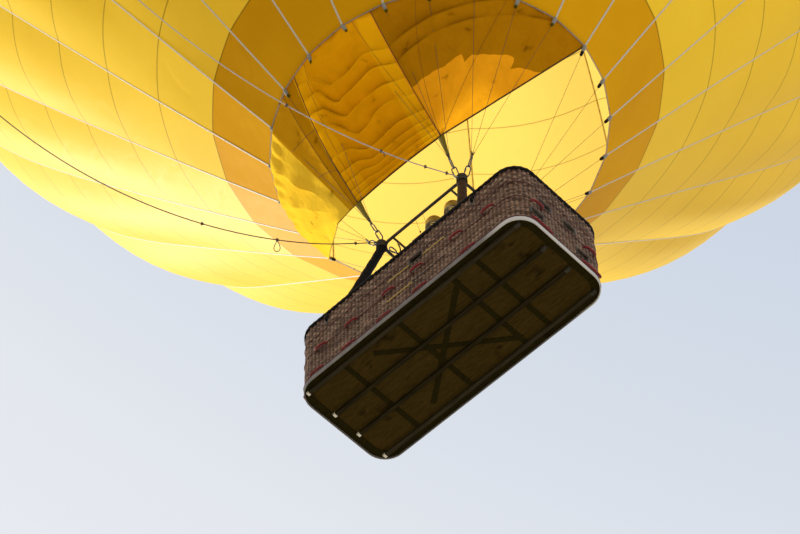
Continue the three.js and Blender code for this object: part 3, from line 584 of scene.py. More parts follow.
def vent_point(along, across):
    """A point of the panel at a distance along the cloth, and at so many gores round."""
    radius, height, slope = meridian[int(round(along / MERIDIAN_STEP))]
    angle = radians(FIRST_TAPE + across * GORE_ANGLE)
    puff = 0.05 * sin(pi * (across % 1)) * (radius / 3)
    puff *= smooth_step(radius, 0.4, 2.0) * (1 - 0.5 * smooth_step(radius, 2.2, 3.2))
    out = radius - VENT_DEPTH * cos(slope)
    return Vector((out * cos(angle), out * sin(angle), height + VENT_DEPTH * sin(slope) - puff - LIFT))


def edit_mesh(piece, change):
    """Makes a change to a piece's mesh; the change is given the mesh to work on."""
    work = bmesh.new()
    work.from_mesh(piece.data)
    change(work)
    work.to_mesh(piece.data)
    work.free()


def weld(work):
    bmesh.ops.remove_doubles(work, verts=work.verts, dist=0.0005)


vent_alongs = steps(VENT_RIM_ALONG, CROWN_ALONG - 0.05, 16)
vent_acrosses = [step / 4 for step in range(GORES * 4 + 1)]
rows = [[vent_point(along, across) for across in vent_acrosses] for along in vent_alongs]
rows.append([Z * rows[-1][0].z] * len(vent_acrosses))
uv_rows = [[(across, along) for across in vent_acrosses] for along in vent_alongs + [CROWN_ALONG]]
vent = make_piece("vent_cloth", [grid_part(rows, uv_rows)], vent_cloth, "vent")
edit_mesh(vent, weld)
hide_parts("vent_panel")

# Scoop. A sheet of the same heat cloth hangs inside the near half of the mouth to catch the wind. Three cut
# pieces are sewn together: a wide one on each side that runs to its tie, and one between the ties that ends
# in a hem. Straight seams carry the pull to the ties, and the slack cloth between them falls into folds.
# Its colours carry painted shade in the folds, and a painted shadow and painted sunlight on the side pieces.
SCOOP_FROM, SCOOP_TO = 7.5, -187.5
TIE_RIGHT = Vector((0.637, -0.702, 3.1 - LIFT))
TIE_LEFT = Vector((-0.772, -0.728, 3.1 - LIFT))
SEAM_RIGHT, SEAM_LEFT = 0.41, 0.587
FLAP_TURNS = [0.0, 0.10, 0.255, 0.441, 0.6275, 0.814, 1.0]
FLAP_STEPS = [4, 7, 20, 16, 12, 10]
RIDGE_TURN = FLAP_TURNS[2]


def slack_cloth(name):
    """Heat cloth in folds with painted shade and sunlight; UV x gives the cut piece, y the place between two
    folds.
    """
    made, add, wire, shader = new_finish(name, {"Roughness": 0.6, "Specular IOR Level": 0.0})
    place = add("TexCoord")
    split = add("SeparateXYZ")
    # Colours by UV x. The right piece is split at its shade edge into painted shadow (from 0.0) and painted
    # sunlight (from 0.20). The middle piece has three tones. On the left piece the two strips by its seam are
    # darkened as painted shade (from 0.5783 and 0.6155), and past the ridge painted sunlight makes the cloth
    # yellow.
    piece_tones_and_painted_light = ((0.0, (0.44, 0.205, 0.003), (0.56, 0.26, 0.003)),
              (0.20, (1.0, 0.43, 0.012), (1.0, 0.50, 0.012)),
              (0.4195, (0.94, 0.48, 0.005), (1.0, 0.55, 0.006)),
              (0.444, (0.84, 0.40, 0.003), (1.0, 0.47, 0.004)),
              (0.549, (0.92, 0.46, 0.004), (1.0, 0.53, 0.005)),
              (0.5783, (0.52, 0.26, 0.004), (0.66, 0.32, 0.004)),
              (0.6155, (0.64, 0.34, 0.010), (0.74, 0.38, 0.008)),
              (0.673, (1.0, 0.66, 0.040), (1.0, 0.67, 0.060)))
    base = ramp_of(add, *[(at, colour) for at, colour, _ in piece_tones_and_painted_light])
    through = ramp_of(add, *[(at, colour) for at, _, colour in piece_tones_and_painted_light])
    base.color_ramp.interpolation = "CONSTANT"
    through.color_ramp.interpolation = "CONSTANT"
    phase = add("Math", operation="FRACT")
    # Painted shade in the folds: darker at each crease and lighter on the cloth between, patchy through noise
    # and stronger towards the hem.
    fold_shade_steps = ((0.0, 0.46), (0.05, 0.74), (0.16, 1.0), (0.40, 0.96), (0.72, 0.88), (0.93, 0.70),
                  (1.0, 0.46))
    fold_shade = ramp_of(add, *[(at, (value, value ** 1.15, value ** 1.4)) for at, value in fold_shade_steps])
    patches = add("TexNoise", {"Scale": 2.3, "Detail": 3})
    strength = add("MapRange", {"From Min": 0.36, "From Max": 0.60, "To Min": 0.10, "To Max": 1.0})
    gathers = add("MapRange", {"From Min": 5.5, "From Max": 7.0, "To Min": 0.0, "To Max": 0.8})
    strongest = add("Math", operation="MAXIMUM")
    shade = add("Mix", {"A": (0.93, 0.93, 0.93, 1)}, data_type="RGBA")
    # The stains are real dirt; they are multiplied with the painted fold shade into one darkening tone.
    stains = add("TexNoise", {"Scale": 5.0, "Detail": 6, "Distortion": 0.5})
    stain_ramp = ramp_of(add, (0.27, (0.55, 0.50, 0.45)), (0.35, (0.92, 0.91, 0.90)), (0.62, (1, 1, 1)))
    darkened_tone, front, back_tint = (add("Mix", {"Factor": 1}, data_type="RGBA", blend_type="MULTIPLY")
                               for _ in range(3))
    wrinkles = add("TexNoise", {"Scale": 7.0, "Detail": 5, "Distortion": 1.2})
    bump = add("Bump", {"Distance": 0.02, "Strength": 0.6})
    wire((place, "UV", split, "Vector"), (split, "X", base, "Fac"), (split, "X", through, "Fac"),
         (split, "Y", phase, 0), (phase, 0, fold_shade, "Fac"), (split, "Y", gathers, "Value"),
         (gathers, "Result", strongest, 0), (strength, "Result", strongest, 1),
         (place, "Object", patches, "Vector"), (place, "Object", stains, "Vector"),
         (place, "Object", wrinkles, "Vector"), (patches, "Fac", strength, "Value"),
         (strongest, 0, shade, "Factor"), (fold_shade, "Color", shade, "B"), (stains, "Fac", stain_ramp, "Fac"),
         (stain_ramp, "Color", darkened_tone, "A"), (shade, "Result", darkened_tone, "B"), (base, "Color", front, "A"),
         (darkened_tone, "Result", front, "B"), (through, "Color", back_tint, "A"),
         (darkened_tone, "Result", back_tint, "B"), (front, "Result", shader, "Base Color"),
         (wrinkles, "Fac", bump, "Height"))
    lit_through(made, add, wire, shader, bump, back_tint, 0.26)
    return made


def arch(share):
    """A hump from 0 to 1 and back to 0."""
    return max(0.0, sin(pi * share))


def hump(value, middle, wide):
    return math.exp(-((value - middle) / wide) ** 2)


SAG = [(0.0, 0.0), (0.22, -0.045), (0.47, 0.01), (0.60, -0.01), (0.82, -0.18), (1.0, -0.225)]
FOLD_DEPTHS = [0.0, 0.30, 0.42, 0.54, 0.66, 0.79, 0.86, 0.905, 0.945, 0.975, 1.0]


def folds_passed(depth):
    """How many folds of the middle piece lie above a depth; they crowd together towards the hem."""
    for number, (low, high) in enumerate(zip(FOLD_DEPTHS, FOLD_DEPTHS[1:])):
        if depth < high:
            return number + max(0.0, depth - low) / (high - low)
    return len(FOLD_DEPTHS) - 1.0


def fold_line(across, drop):
    """Where a point lies between folds; each whole number is a crease."""
    if across > SEAM_LEFT:
        return 0.5
    if across < SEAM_RIGHT:
        return min(2.5, folds_passed(drop + 0.5 * (1 - across / SEAM_RIGHT)))
    inside = (across - SEAM_RIGHT) / (SEAM_LEFT - SEAM_RIGHT)
    shift = 0.0
    for (at, start), (to, end) in zip(SAG, SAG[1:]):
        if at <= inside <= to:
            shift = start + (end - start) * smooth_step(inside, at, to)
    shift += 0.05 * noise.noise((inside * 3.5, drop * 5, 5.0)) * arch(inside)
    depth = drop - shift
    return folds_passed(depth if depth < 0.65 else (drop - shift / 0.35) / (1 - shift / 0.35))


def straight_line(across, drop, hem):
    """A point of the straight line from the mouth's edge to the hem."""
    degrees = SCOOP_FROM + (SCOOP_TO - SCOOP_FROM) * across
    gore = ((degrees - FIRST_TAPE) / GORE_ANGLE) % 1
    along = 0.06 if drop < 0 else 0.0
    top = on_skin(along, degrees, -0.014, bulge_at(along) * sin(pi * gore))
    return top.lerp(hem, max(0.0, drop))


def flap_line(turn, drop):
    """A straight line of the left piece; its hem runs on past the tie and hangs a little."""
    beyond = max(0.0, turn - RIDGE_TURN) / (1 - RIDGE_TURN)
    past = 1 + 0.10 * min(turn, RIDGE_TURN) / RIDGE_TURN + 0.15 * beyond
    hem = TIE_RIGHT.lerp(TIE_LEFT, past) - Z * 0.10 * turn
    return straight_line(SEAM_LEFT + (1 - SEAM_LEFT) * turn, drop, hem)


def flap_puff(turn, share, low, drop):
    """How far the left piece stands out; low is the straight line on its right, and share how far past it."""
    puff = 0.096 * arch(drop) * (1 - smooth_step(turn, 0, RIDGE_TURN))
    if low == FLAP_TURNS[2]:
        puff += share ** 2 * (0.055 * hump(drop, 0.13, 0.07) + 0.085 * hump(drop, 0.40, 0.13))
    elif low == FLAP_TURNS[3]:
        puff += share ** 2 * (0.045 * hump(drop, 0.28, 0.09) + 0.03 * hump(drop, 0.55, 0.12))
    elif low > FLAP_TURNS[3]:
        puff += 0.03 * share ** 2 * hump(drop, 0.35, 0.15)
    if low > 0:
        swell = smooth_step(drop, 0, 0.04) * (1 - smooth_step(drop, 0.15, 0.9))
        puff += 0.05 * smooth_step(turn, 0.10, RIDGE_TURN) * swell
    if low >= RIDGE_TURN:
        ripple = sin(16 * turn + 9 * drop + 3 * noise.noise((turn * 4, drop * 3, 2.0)))
        puff += smooth_step(turn, RIDGE_TURN, 0.35) * arch(drop) * 0.010 * ripple
        gathered = hump(drop, 0.10, 0.08) * (1 - smooth_step(drop, 0.1, 0.35))
        puff += 0.02 * arch(share) * cos(pi * 5 * share) * gathered
    return puff if drop > 0 else 0.0


def scoop_point(across, drop, lift=0.0):
    """A point of the scoop: across its width from the right, and from the mouth's edge, 0, to the hem, 1."""
    degrees = SCOOP_FROM + (SCOOP_TO - SCOOP_FROM) * across
    outward = Vector((cos(radians(degrees)), sin(radians(degrees)), -1)).normalized()
    if across > SEAM_LEFT:
        turn = (across - SEAM_LEFT) / (1 - SEAM_LEFT)
        low = max(t for t in FLAP_TURNS[:-1] if t <= turn + 1e-6)
        high = FLAP_TURNS[FLAP_TURNS.index(low) + 1]
        share = min(1.0, max(0.0, (turn - low) / (high - low)))
        spot = flap_line(low, drop).lerp(flap_line(high, drop), share)
        return spot + outward * (flap_puff(turn, share, low, drop) + lift)
    if across < SEAM_RIGHT:
        between = -0.035 + 0.035 * across / SEAM_RIGHT
    else:
        between = (across - SEAM_RIGHT) / (SEAM_LEFT - SEAM_RIGHT)
    hem = TIE_RIGHT.lerp(TIE_LEFT, between)
    if drop <= 0:
        return straight_line(across, drop, hem)
    past_fold = fold_line(across, drop) % 1
    scallop = min(1.0, past_fold / 0.14) ** 0.7 * (1 - past_fold) ** 0.8
    belly = 0.10 * arch(drop) * arch(across)
    folds = 0.010 * noise.noise((across * 16, drop * 5, 1.5)) * arch(drop)
    if across < SEAM_RIGHT:
        folds += 0.035 * scallop * arch(drop) * smooth_step(across, 0.0, 0.12)
    else:
        slack = arch(between)
        belly += 0.06 * slack * arch(min(1, drop * 1.04))
        fold_depth = smooth_step(drop, 0, 0.15) * (1 - 0.60 * smooth_step(drop, 0.6, 0.95))
        folds += 0.085 * slack ** 0.45 * scallop * fold_depth
        hem = hem + Z * 0.05 * slack * drop
    return straight_line(across, drop, hem) + outward * (belly + folds + lift)


# The edge of a painted shadow on the right piece: its drop at shares across from the free edge. Above it the
# cloth takes the shadow colour, below it the painted sunlight colour.
SHADE_EDGE = [(0.0, 0.29), (0.066, 0.346), (0.12, 0.375), (0.174, 0.42), (0.20, 0.35), (0.26, 0.355),
              (0.373, 0.41), (0.485, 0.43), (0.52, 0.50), (0.556, 0.44), (0.676, 0.53), (1.0, 0.63)]


def sunlit(across, drop):
    """How far below the painted shadow a point of the right piece lies."""
    share = across / SEAM_RIGHT
    for (at, start), (to, end) in zip(SHADE_EDGE, SHADE_EDGE[1:]):
        if at <= share <= to:
            edge = start + (end - start) * (share - at) / (to - at)
    return drop - edge - 0.02 * noise.noise((across * 40, drop * 12, 8.0))


def scoop_uv(across, drop):
    """The cut piece, the right piece split into painted shadow and sunlight, and the place between two folds.
    """
    cut = 0.05 + across * 0.9
    if across < SEAM_RIGHT:
        cut = min(0.40, max(0.05, 0.20 + 0.3 * sunlit(across, drop)))
    return cut, fold_line(across, max(drop, 0.0))


flap_across = [SEAM_LEFT]
for low, high, count in zip(FLAP_TURNS, FLAP_TURNS[1:], FLAP_STEPS):
    flap_across += [SEAM_LEFT + (1 - SEAM_LEFT) * turn for turn in steps(low, high, count)[1:]]
scoop_drops = [-1] + steps(0, 1, 110)
scoop_parts = []
for columns in (steps(0, SEAM_RIGHT, 52), steps(SEAM_RIGHT, SEAM_LEFT, 44), flap_across):
    middle = (columns[0] + columns[-1]) / 2
    inner = [across + (middle - across) * 1e-6 for across in columns]
    scoop_parts.append(grid_part([[scoop_point(across, drop) for across in columns] for drop in scoop_drops],
                                 [[scoop_uv(across, drop) for across in inner] for drop in scoop_drops]))
scoop_cloth = slack_cloth("orange scoop cloth")
scoop = make_piece("scoop_cloth", scoop_parts, scoop_cloth)
edit_mesh(scoop, weld)
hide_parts("scoop")

brown_thread = mottled("brown seam tape", (0.10, 0.04, 0.010), (0.17, 0.07, 0.014), 20, 0.8, 0, 0.0004, 200)
FLAP_EDGE = SEAM_LEFT + 1e-4
RIDGE = SEAM_LEFT + (1 - SEAM_LEFT) * RIDGE_TURN
SEAMS = [
    # across at the mouth and at the hem, and the seam's half width
    (SEAM_RIGHT, SEAM_RIGHT, 0.0065), (SEAM_LEFT, SEAM_LEFT, 0.0075), (0.556, 0.578, 0.002),
    (0.445, 0.415, 0.002), (0.33, 0.37, 0.002), (0.17, 0.20, 0.002), (0.6283, 0.6283, 0.003),
]
seams = []
for top_across, low_across, wide in SEAMS:
    seams.append(tube([scoop_point(top_across + (low_across - top_across) * drop, drop, 0.002)
                       for drop in steps(0.0, 1.0, 48)], wide, 5))
for at_seam in (0.42, 0.74):
    seams.append(tube([scoop_point(FLAP_EDGE + (RIDGE - SEAM_LEFT) * share, at_seam - 0.13 * share, 0.002)
                       for share in steps(0, 1, 12)], 0.0025, 5))
make_piece("scoop_seams", seams, brown_thread)
hem_cloth = mottled("olive hem", (0.055, 0.030, 0.004), (0.11, 0.065, 0.008), 20, 0.8, 0, 0.0004, 200)
hem_line = [scoop_point(0, drop, 0.001) for drop in steps(0.0, 1.0, 30)]
hem_line += [scoop_point(across, 1.0, 0.001) for across in steps(0, SEAM_LEFT, 60)[1:]]
make_piece("scoop_hem", [tube(hem_line, 0.0105, 6)], hem_cloth)
flap_hem = mottled("yellow hem", (0.30, 0.17, 0.006), (0.48, 0.30, 0.012), 20, 0.8, 0, 0.0004, 200,
                   specular=0.05)
flap_hem_line = [scoop_point(across, 1.0, 0.001) for across in steps(FLAP_EDGE, 1, 40)]
flap_hem_line += [scoop_point(1, drop, 0.001) for drop in steps(1.0, 0.0, 30)[1:]]
make_piece("scoop_flap_hem", [tube(flap_hem_line, 0.0065, 6)], flap_hem)

# Flying wires. Three thin steel wires run from each of eight pairs of chain links on the load frame to the
# mouth, where each ends in a heat sleeve, olive behind the scoop and black elsewhere, and in a loop of
# webbing at the foot of a load tape.
EYE_OFFSETS = [(0.04, -0.03), (-0.04, 0.03)]
CORNERS = [(1, 1), (-1, 1), (-1, -1), (1, -1)]
WIRES_PER_EYE = 3
wire_steel = mottled("wire steel", (0.035, 0.030, 0.020), (0.085, 0.075, 0.050), 30, 0.5, 0.3, 0.0002, 500)
link_steel = mottled("zinc-plated links", (0.07, 0.065, 0.05), (0.20, 0.19, 0.16), 25, 0.4, 0.8, 0.0002, 300)


def link_part(low, run, turned):
    """One chain link: a stadium of round bar, standing along the pull."""
    side = run.cross(Z).normalized()
    if turned:
        side = run.cross(side).normalized()
    middle = low + run * 0.078
    bends = []
    for k in range(24):
        angle = 2 * pi * (k + 0.5) / 24
        up = 0.031 * sin(angle) + math.copysign(0.040, sin(angle))
        bends.append(middle + side * 0.032 * cos(angle) + run * up)
    return tube(bends, 0.0085, 8, closed=True)


wire_knots, mouth_ends = [], []
for quadrant, (sx, sy) in enumerate(CORNERS):
    for eye, (dx, dy) in enumerate(EYE_OFFSETS):
        bundle = quadrant * 2 + eye + 1
        first = quadrant * 2 * WIRES_PER_EYE + (1 - eye if quadrant % 2 else eye) * WIRES_PER_EYE
        tops = [on_skin(0, FIRST_TAPE + (first + i) * GORE_ANGLE) for i in range(WIRES_PER_EYE)]
        eye_point = Vector((sx * (FRAME_X + dx), sy * (FRAME_Y + dy), 2.415 - LIFT))
        run = (tops[1] - eye_point).normalized()
        side = run.cross(Z).normalized()
        lowest = min(p.z for p in link_part(eye_point, run, False)[0])
        low = eye_point + Z * (eye_point.z + 0.0005 - lowest)
        gather = low + run * 0.272
        wire_knots.append(gather)
        collar = low + run * 0.078 + side * 0.032
        thimble = hoop(gather + run * 0.012, side * 0.014, run * 0.014, 16)
        hardware = [link_part(low, run, False), link_part(low + run * 0.128, run, True),
                    tube([collar - run * 0.02, collar + run * 0.02], 0.0115, 6),
                    tube(thimble, 0.005, 6, closed=True)]
        wires = []
        for top in tops:
            pull = (top - gather).normalized()
            wires.append(tube([gather, top - pull * 0.15], 0.0026, 6))
            wires.append(tube([gather + pull * 0.035, gather + pull * 0.085], 0.0065, 8))
            mouth_ends.append((top, pull))
        links = make_piece(f"chain_links_{bundle}", hardware, link_steel)
        rigging = make_piece(f"wires_{bundle}", wires, wire_steel)
        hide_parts(f"flying_wires_{bundle}")
        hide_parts(f"flying_wires_{bundle}")
black_sleeve = mottled("black heat sleeve", (0.006, 0.006, 0.006), (0.02, 0.02, 0.019), 60, 0.85, 0, 0.001,
                       250, specular=0.08)
olive_sleeve = mottled("olive heat sleeve", (0.05, 0.045, 0.005), (0.13, 0.115, 0.012), 60, 0.85, 0, 0.001,
                       250, specular=0.08)
grey_loop = webbing("grey webbing loop", (0.16, 0.15, 0.135), (0.36, 0.345, 0.31))
sleeves, covered_sleeves, loops = [], [], []
for top, pull in mouth_ends:
    loops.append(tube([top - pull * far for far in (-0.012, 0.0, 0.03, 0.06, 0.085, 0.10)],
                      [0.018, 0.024, 0.027, 0.026, 0.020, 0.011], 10))
    under_scoop = -172 < math.degrees(math.atan2(top.y, top.x)) < 5
    sleeve_end = 0.13 if under_scoop else 0.155
    (covered_sleeves if under_scoop else sleeves).append(
        tube([top - pull * far for far in (0.085, 0.095, sleeve_end - 0.01, sleeve_end)],
             [0.018, 0.0225, 0.0195, 0.010], 10))
make_piece("heat_sleeves", sleeves, black_sleeve)
make_piece("heat_sleeves_olive", covered_sleeves, olive_sleeve)
make_piece("mouth_loops", loops, grey_loop)

# Scoop ties. A tapered olive strap at each lower corner of the scoop runs to a chain link on the load frame,
# with a small loop of grey webbing sewn to its top.
olive_webbing = webbing("olive strap", (0.09, 0.062, 0.002), (0.27, 0.195, 0.008))
grey_tape = webbing("grey binding tape", (0.26, 0.25, 0.19), (0.48, 0.46, 0.38))
for name, top, foot in (("right", TIE_RIGHT, wire_knots[7]), ("left", TIE_LEFT, wire_knots[5])):
    run = (foot - top).normalized()
    wide = run.cross(Vector((0, 1, 0.3))).normalized()
    thin = run.cross(wide).normalized()
    lengths = steps(-0.03, (foot - top).length, 10)
    rings = []
    for far in lengths:
        share_down = max(0.0, far) / lengths[-1]
        half = 0.038 * (1 - share_down) ** 1.2 + 0.011
        thick = 0.004 + 0.004 * share_down
        centre = top + run * far - Z * 0.012 * sin(pi * share_down)
        rings.append([centre + wide * a + thin * b
                      for a, b in ((-half, -thick), (half, -thick), (half, thick), (-half, thick))])
    strap = shell(rings, lengths, [(0.01 * k, 0.01 * k + 0.06) for k in range(4)])
    make_piece(f"scoop_tie_{name}", [strap], olive_webbing)
    sewn_loop = hoop(top - run * 0.045, run * 0.035, wide * 0.022, 16)
    make_piece(f"scoop_loop_{name}", [tube(sewn_loop, 0.006, 6, closed=True)], grey_tape)

# Load frame. Welded steel tube, painted dark grey with a mottled finish, with a cap over each post. Weld
# collars and the lifting eyes are added to its corners.
frame_paint = mottled("dark frame paint", (0.030, 0.025, 0.016), (0.085, 0.074, 0.052), 14, 0.42, 0.3,
                      0.0002, 300, specular=0.2)
X, Y = Vector((1, 0, 0)), Vector((0, 1, 0))


def dress(node, finish):
    for place in frame["nodes"][node].material_slots:
        place.material = finish


dress("load_frame", frame_paint)
collars = []
for sx, sy in CORNERS:
    for height, radius in ((2.300, 0.066), (2.405, 0.066), (2.352, 0.0645)):
        middle = Vector((sx * FRAME_X, sy * FRAME_Y, height - LIFT))
        collars.append(tube(hoop(middle, X * radius, Y * radius, 24), 0.005, 6, closed=True))
    for dx, dy in EYE_OFFSETS:
        middle = Vector((sx * (FRAME_X + dx), sy * (FRAME_Y + dy), 2.409 - LIFT))
        lean_side = Vector((sx * 0.5, sy * 0.8, 0)).normalized()
        collars.append(tube(hoop(middle, lean_side * 0.02, Z * 0.02, 20)[:11], 0.0055, 6))
make_piece("frame_collars", collars, frame_paint)

# Posts. A nylon rod stands in each socket of the basket's cap, inside a padded leather sleeve that is laced
# up one side and holds the wires and a fuel hose. The left-hand pair are black, the others brown.
SLEEVE_SIDES, SLEEVE_RINGS = 24, 60
SLEEVE_FOOT, SLEEVE_TOP = (0.90, 0.70, 1.1655), 2.2945
brown_leather = mottled("brown leather", (0.016, 0.008, 0.005), (0.044, 0.024, 0.016), 16, 0.65, 0, 0.0006,
                        260, specular=0.08)
black_leather = mottled("black padded cover", (0.0035, 0.0035, 0.004), (0.010, 0.010, 0.010), 16, 0.7, 0,
                        0.0006, 260, specular=0.08)
for number, (sx, sy) in enumerate(CORNERS, 1):
    foot = Vector((sx * SLEEVE_FOOT[0], sy * SLEEVE_FOOT[1], SLEEVE_FOOT[2] - LIFT))
    head = Vector((sx * FRAME_X, sy * FRAME_Y, SLEEVE_TOP - LIFT))
    finish, girth, swell = (black_leather, 0.056, 0.16) if sx < 0 else (brown_leather, 0.058, 0.08)
    places = steps(0, 1, SLEEVE_RINGS)
    rings = []
    for share in places:
        puff = girth * (1 + swell * (1 - share) ** 2 + 0.035 * sin(share * 31) * (1 - share * 0.5))
        puff *= 1 - 0.22 * smooth_step(share, 0.975, 1) - 0.10 * (1 - smooth_step(share, 0, 0.02))
        puff -= 0.0045 * sum(hump(share, strapped, 0.008) for strapped in (0.13, 0.55, 0.885))
        ring = []
        for k in range(SLEEVE_SIDES):
            angle = 2 * pi * k / SLEEVE_SIDES
            out = puff - 0.004 * hump(k, 12, 1.1) + 0.0022 * noise.noise((k * 0.5, share * 14, number))
            ring.append(foot.lerp(head, share) + Vector((cos(angle) * out, sin(angle) * out, 0)))
        rings.append(ring)
    arounds = [(k / SLEEVE_SIDES, (k + 1) / SLEEVE_SIDES) for k in range(SLEEVE_SIDES)]
    sleeve = make_piece(f"post_sleeve_{number}", [shell(rings, places, arounds)], finish)
    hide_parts(f"post_{number}")
    lacing = []
    for share in steps(0.04, 0.96, 24):
        laced = foot.lerp(head, share) - X * sx * girth
        lacing.append(tube([laced + Vector((0, 0.012, 0.010)), laced - X * sx * 0.002,
                            laced - Vector((0, 0.012, 0.010))], 0.0025, 5))
    make_piece(f"post_lacing_{number}", lacing, black_sleeve)

# Burners. A cradle and a valve block turn on trunnions inside the load frame. Over the block stand two
# stainless cans: a coil of tube that heats the fuel, open to the air below, and a domed skirt round it
# above.
heated_steel = mottled("heat-tinted stainless", (0.10, 0.07, 0.045), (0.36, 0.31, 0.24), 11, 0.3, 1.0,
                       0.0001, 200)
brass = mottled("brass fittings", (0.34, 0.21, 0.05), (0.62, 0.42, 0.12), 18, 0.3, 1.0, 0.0001, 200)
dark_steel = mottled("blackened steel", (0.018, 0.017, 0.016), (0.07, 0.066, 0.06), 14, 0.42, 0.8, 0.0002,
                     250)
dress("gimbal_cradle", dark_steel)
dress("burner_block", dark_steel)


def spun_piece(name, outline, centre, finish, body, thick=0.0):
    """A profile of (radius, height) points spun round an upright axis, as on a lathe."""
    mesh = bpy.data.meshes.new(name)
    mesh.from_pydata([(radius, 0, up) for radius, up in outline],
                     [(i, i + 1) for i in range(len(outline) - 1)], [])
    piece = bpy.data.objects.new(name, mesh)
    bpy.context.scene.collection.objects.link(piece)
    deselect_all()
    piece.select_set(True)
    bpy.context.view_layer.objects.active = piece
    bpy.ops.object.mode_set(mode="EDIT")
    bpy.ops.mesh.select_all(action="SELECT")
    bpy.ops.mesh.spin(steps=40, angle=2 * pi, center=(0, 0, 0), axis=(0, 0, 1))
    bpy.ops.mesh.select_all(action="SELECT")
    bpy.ops.mesh.remove_doubles(threshold=0.0002)
    bpy.ops.mesh.normals_make_consistent(inside=False)
    bpy.ops.transform.translate(value=centre)
    bpy.ops.object.mode_set(mode="OBJECT")
    if thick:
        wall = piece.modifiers.new("wall", "SOLIDIFY")
        wall.thickness = thick
        bpy.ops.object.modifier_apply(modifier="wall")
    bpy.ops.object.shade_smooth_by_angle(angle=radians(35))
    mesh.materials.append(finish)
    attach(piece, body)
    return piece


SKIRT = [(0.113, 2.645), (0.117, 2.65), (0.117, 2.665), (0.114, 2.67), (0.114, 2.745), (0.108, 2.78),
         (0.094, 2.806), (0.078, 2.817), (0.072, 2.819)]
CAN_BASE = [(0.0, 2.462), (0.086, 2.462), (0.094, 2.466), (0.094, 2.474), (0.084, 2.478), (0.0, 2.478)]
COIL_TURNS, COIL_STEPS = 6, 28
for number, side in enumerate((-1, 1), 1):
    axis = Vector((side * 0.16, 0, -LIFT))
    skirt = spun_piece(f"can_skirt_{number}", SKIRT, axis, heated_steel, "burners",
                       thick=0.002)
    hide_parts(f"burner_can_{number}")
    spun_piece(f"can_base_{number}", CAN_BASE, axis, heated_steel, "burners")
    coil = []
    for k in range(COIL_TURNS * COIL_STEPS + 1):
        angle = 2 * pi * k / COIL_STEPS
        rise = k / COIL_STEPS / COIL_TURNS
        radius = 0.088 + 0.014 * sin(pi * min(1, rise * 1.4) / 2)
        coil.append(axis + Vector((radius * cos(angle), radius * sin(angle), 2.486 + 0.20 * rise)))
    stays = [tube(coil, 0.0075, 8)]
    for k in range(6):
        angle = 2 * pi * (k + 0.5) / 6
        flat = Vector((cos(angle), sin(angle), 0))
        stays.append(tube([axis + flat * 0.09 + Z * 2.47, axis + flat * 0.111 + Z * 2.52,
                           axis + flat * 0.111 + Z * 2.68], 0.003, 6))
    for jet in hoop(axis, X * 0.055, Y * 0.055, 12):
        stays.append(tube([jet + Z * 2.474, jet + Z * 2.505], [0.007, 0.004], 6))
    stays.append(tube(hoop(axis + Z * 2.483, X * 0.055, Y * 0.055, 24), 0.006, 6, closed=True))
    make_piece(f"can_coil_{number}", stays, heated_steel, "burners")
    feed = [axis + Vector(p) for p in ((side * 0.046, -0.03, 2.30), (side * 0.085, -0.05, 2.33),
                                       (side * 0.12, -0.06, 2.40), (side * 0.10, -0.04, 2.47))]
    pipes = [tube(smooth_path(feed, 6), 0.006, 8)]
    for gauge_side in (-1, 1):
        hub = axis + Vector((gauge_side * 0.022, -0.063, 2.29))
        face = hub - Y * 0.022
        pipes.append(tube([hub, face], [0.018, 0.018], 16))
        pipes.append(tube([face, face - Y * 0.004], [0.020, 0.017], 16))
    make_piece(f"burner_pipes_{number}", pipes, brass, "burners")

# Fuel hoses. Rubber hose comes up a post with the fuel, loops once below the frame's corner so that the
# burner can tilt, and ends in a brass coupling strapped to the frame. It hangs in its own bend.
rubber = mottled("black hose rubber", (0.004, 0.004, 0.004), (0.011, 0.011, 0.011), 30, 0.55, 0, 0.0004, 300,
                 specular=0.08)
HOSE_ROUTE = [(0.640, 0.362, 2.262), (0.612, 0.330, 2.262), (0.575, 0.300, 2.225), (0.530, 0.305, 2.165),
              (0.505, 0.350, 2.140), (0.520, 0.395, 2.165), (0.560, 0.392, 2.215), (0.600, 0.345, 2.245),
              (0.585, 0.285, 2.240), (0.530, 0.250, 2.215), (0.492, 0.275, 2.235), (0.489, 0.305, 2.285),
              (0.489, 0.310, 2.318)]
for number, (sx, sy) in enumerate(((-1, -1), (1, 1)), 1):
    path = smooth_path([Vector((sx * x, sy * y, z - LIFT)) for x, y, z in HOSE_ROUTE], 6)
    hose = make_piece(f"fuel_hose_{number}", [tube(path, 0.009, 10)], rubber)
    end = path[-1]
    coupling = make_piece(f"hose_coupling_{number}", [
        tube([path[-6], path[-4], end], [0.0115, 0.012, 0.0115], 10),
        tube([end - Z * 0.014, end - Z * 0.002], 0.015, 6)], brass)

# Control lines. Two thin cords with dark toggles hang from the near frame tube, within the pilot's reach.
# Each hangs almost straight down, a little towards the burners.
TOGGLE = [(0.006, 0.030), (0.004, 0.022), (0.0, 0.002), (0.0, -0.008)]
for number, x in enumerate((-0.10, 0.02), 1):
    path = [Vector((x, -FRAME_Y + 0.004 * k, 2.3285 - 0.011 * k - LIFT)) for k in range(20)]
    line = make_piece(f"control_line_{number}", [tube(path, 0.0022, 6)], dark_rope)
    end = path[-1]
    toggle_part = tube([end + Vector((0, y, z)) for y, z in TOGGLE], [0.004, 0.010, 0.011, 0.004], 10)
    toggle = make_piece(f"control_toggle_{number}", [toggle_part], dark_steel)

# Basket wall. Willow and rattan woven round upright canes, in one long tube with rounded corners. Foot
# holes are cut through it and lined with pale hide, with a dark hide pocket behind each.
WALL_X, WALL_Y, CORNER = 1.795, 0.755, 0.28
STAKES, STAKES_PER_METRE, WEAVERS_PER_METRE = 164, 16.8, 46.0
BLOCK = 0.39


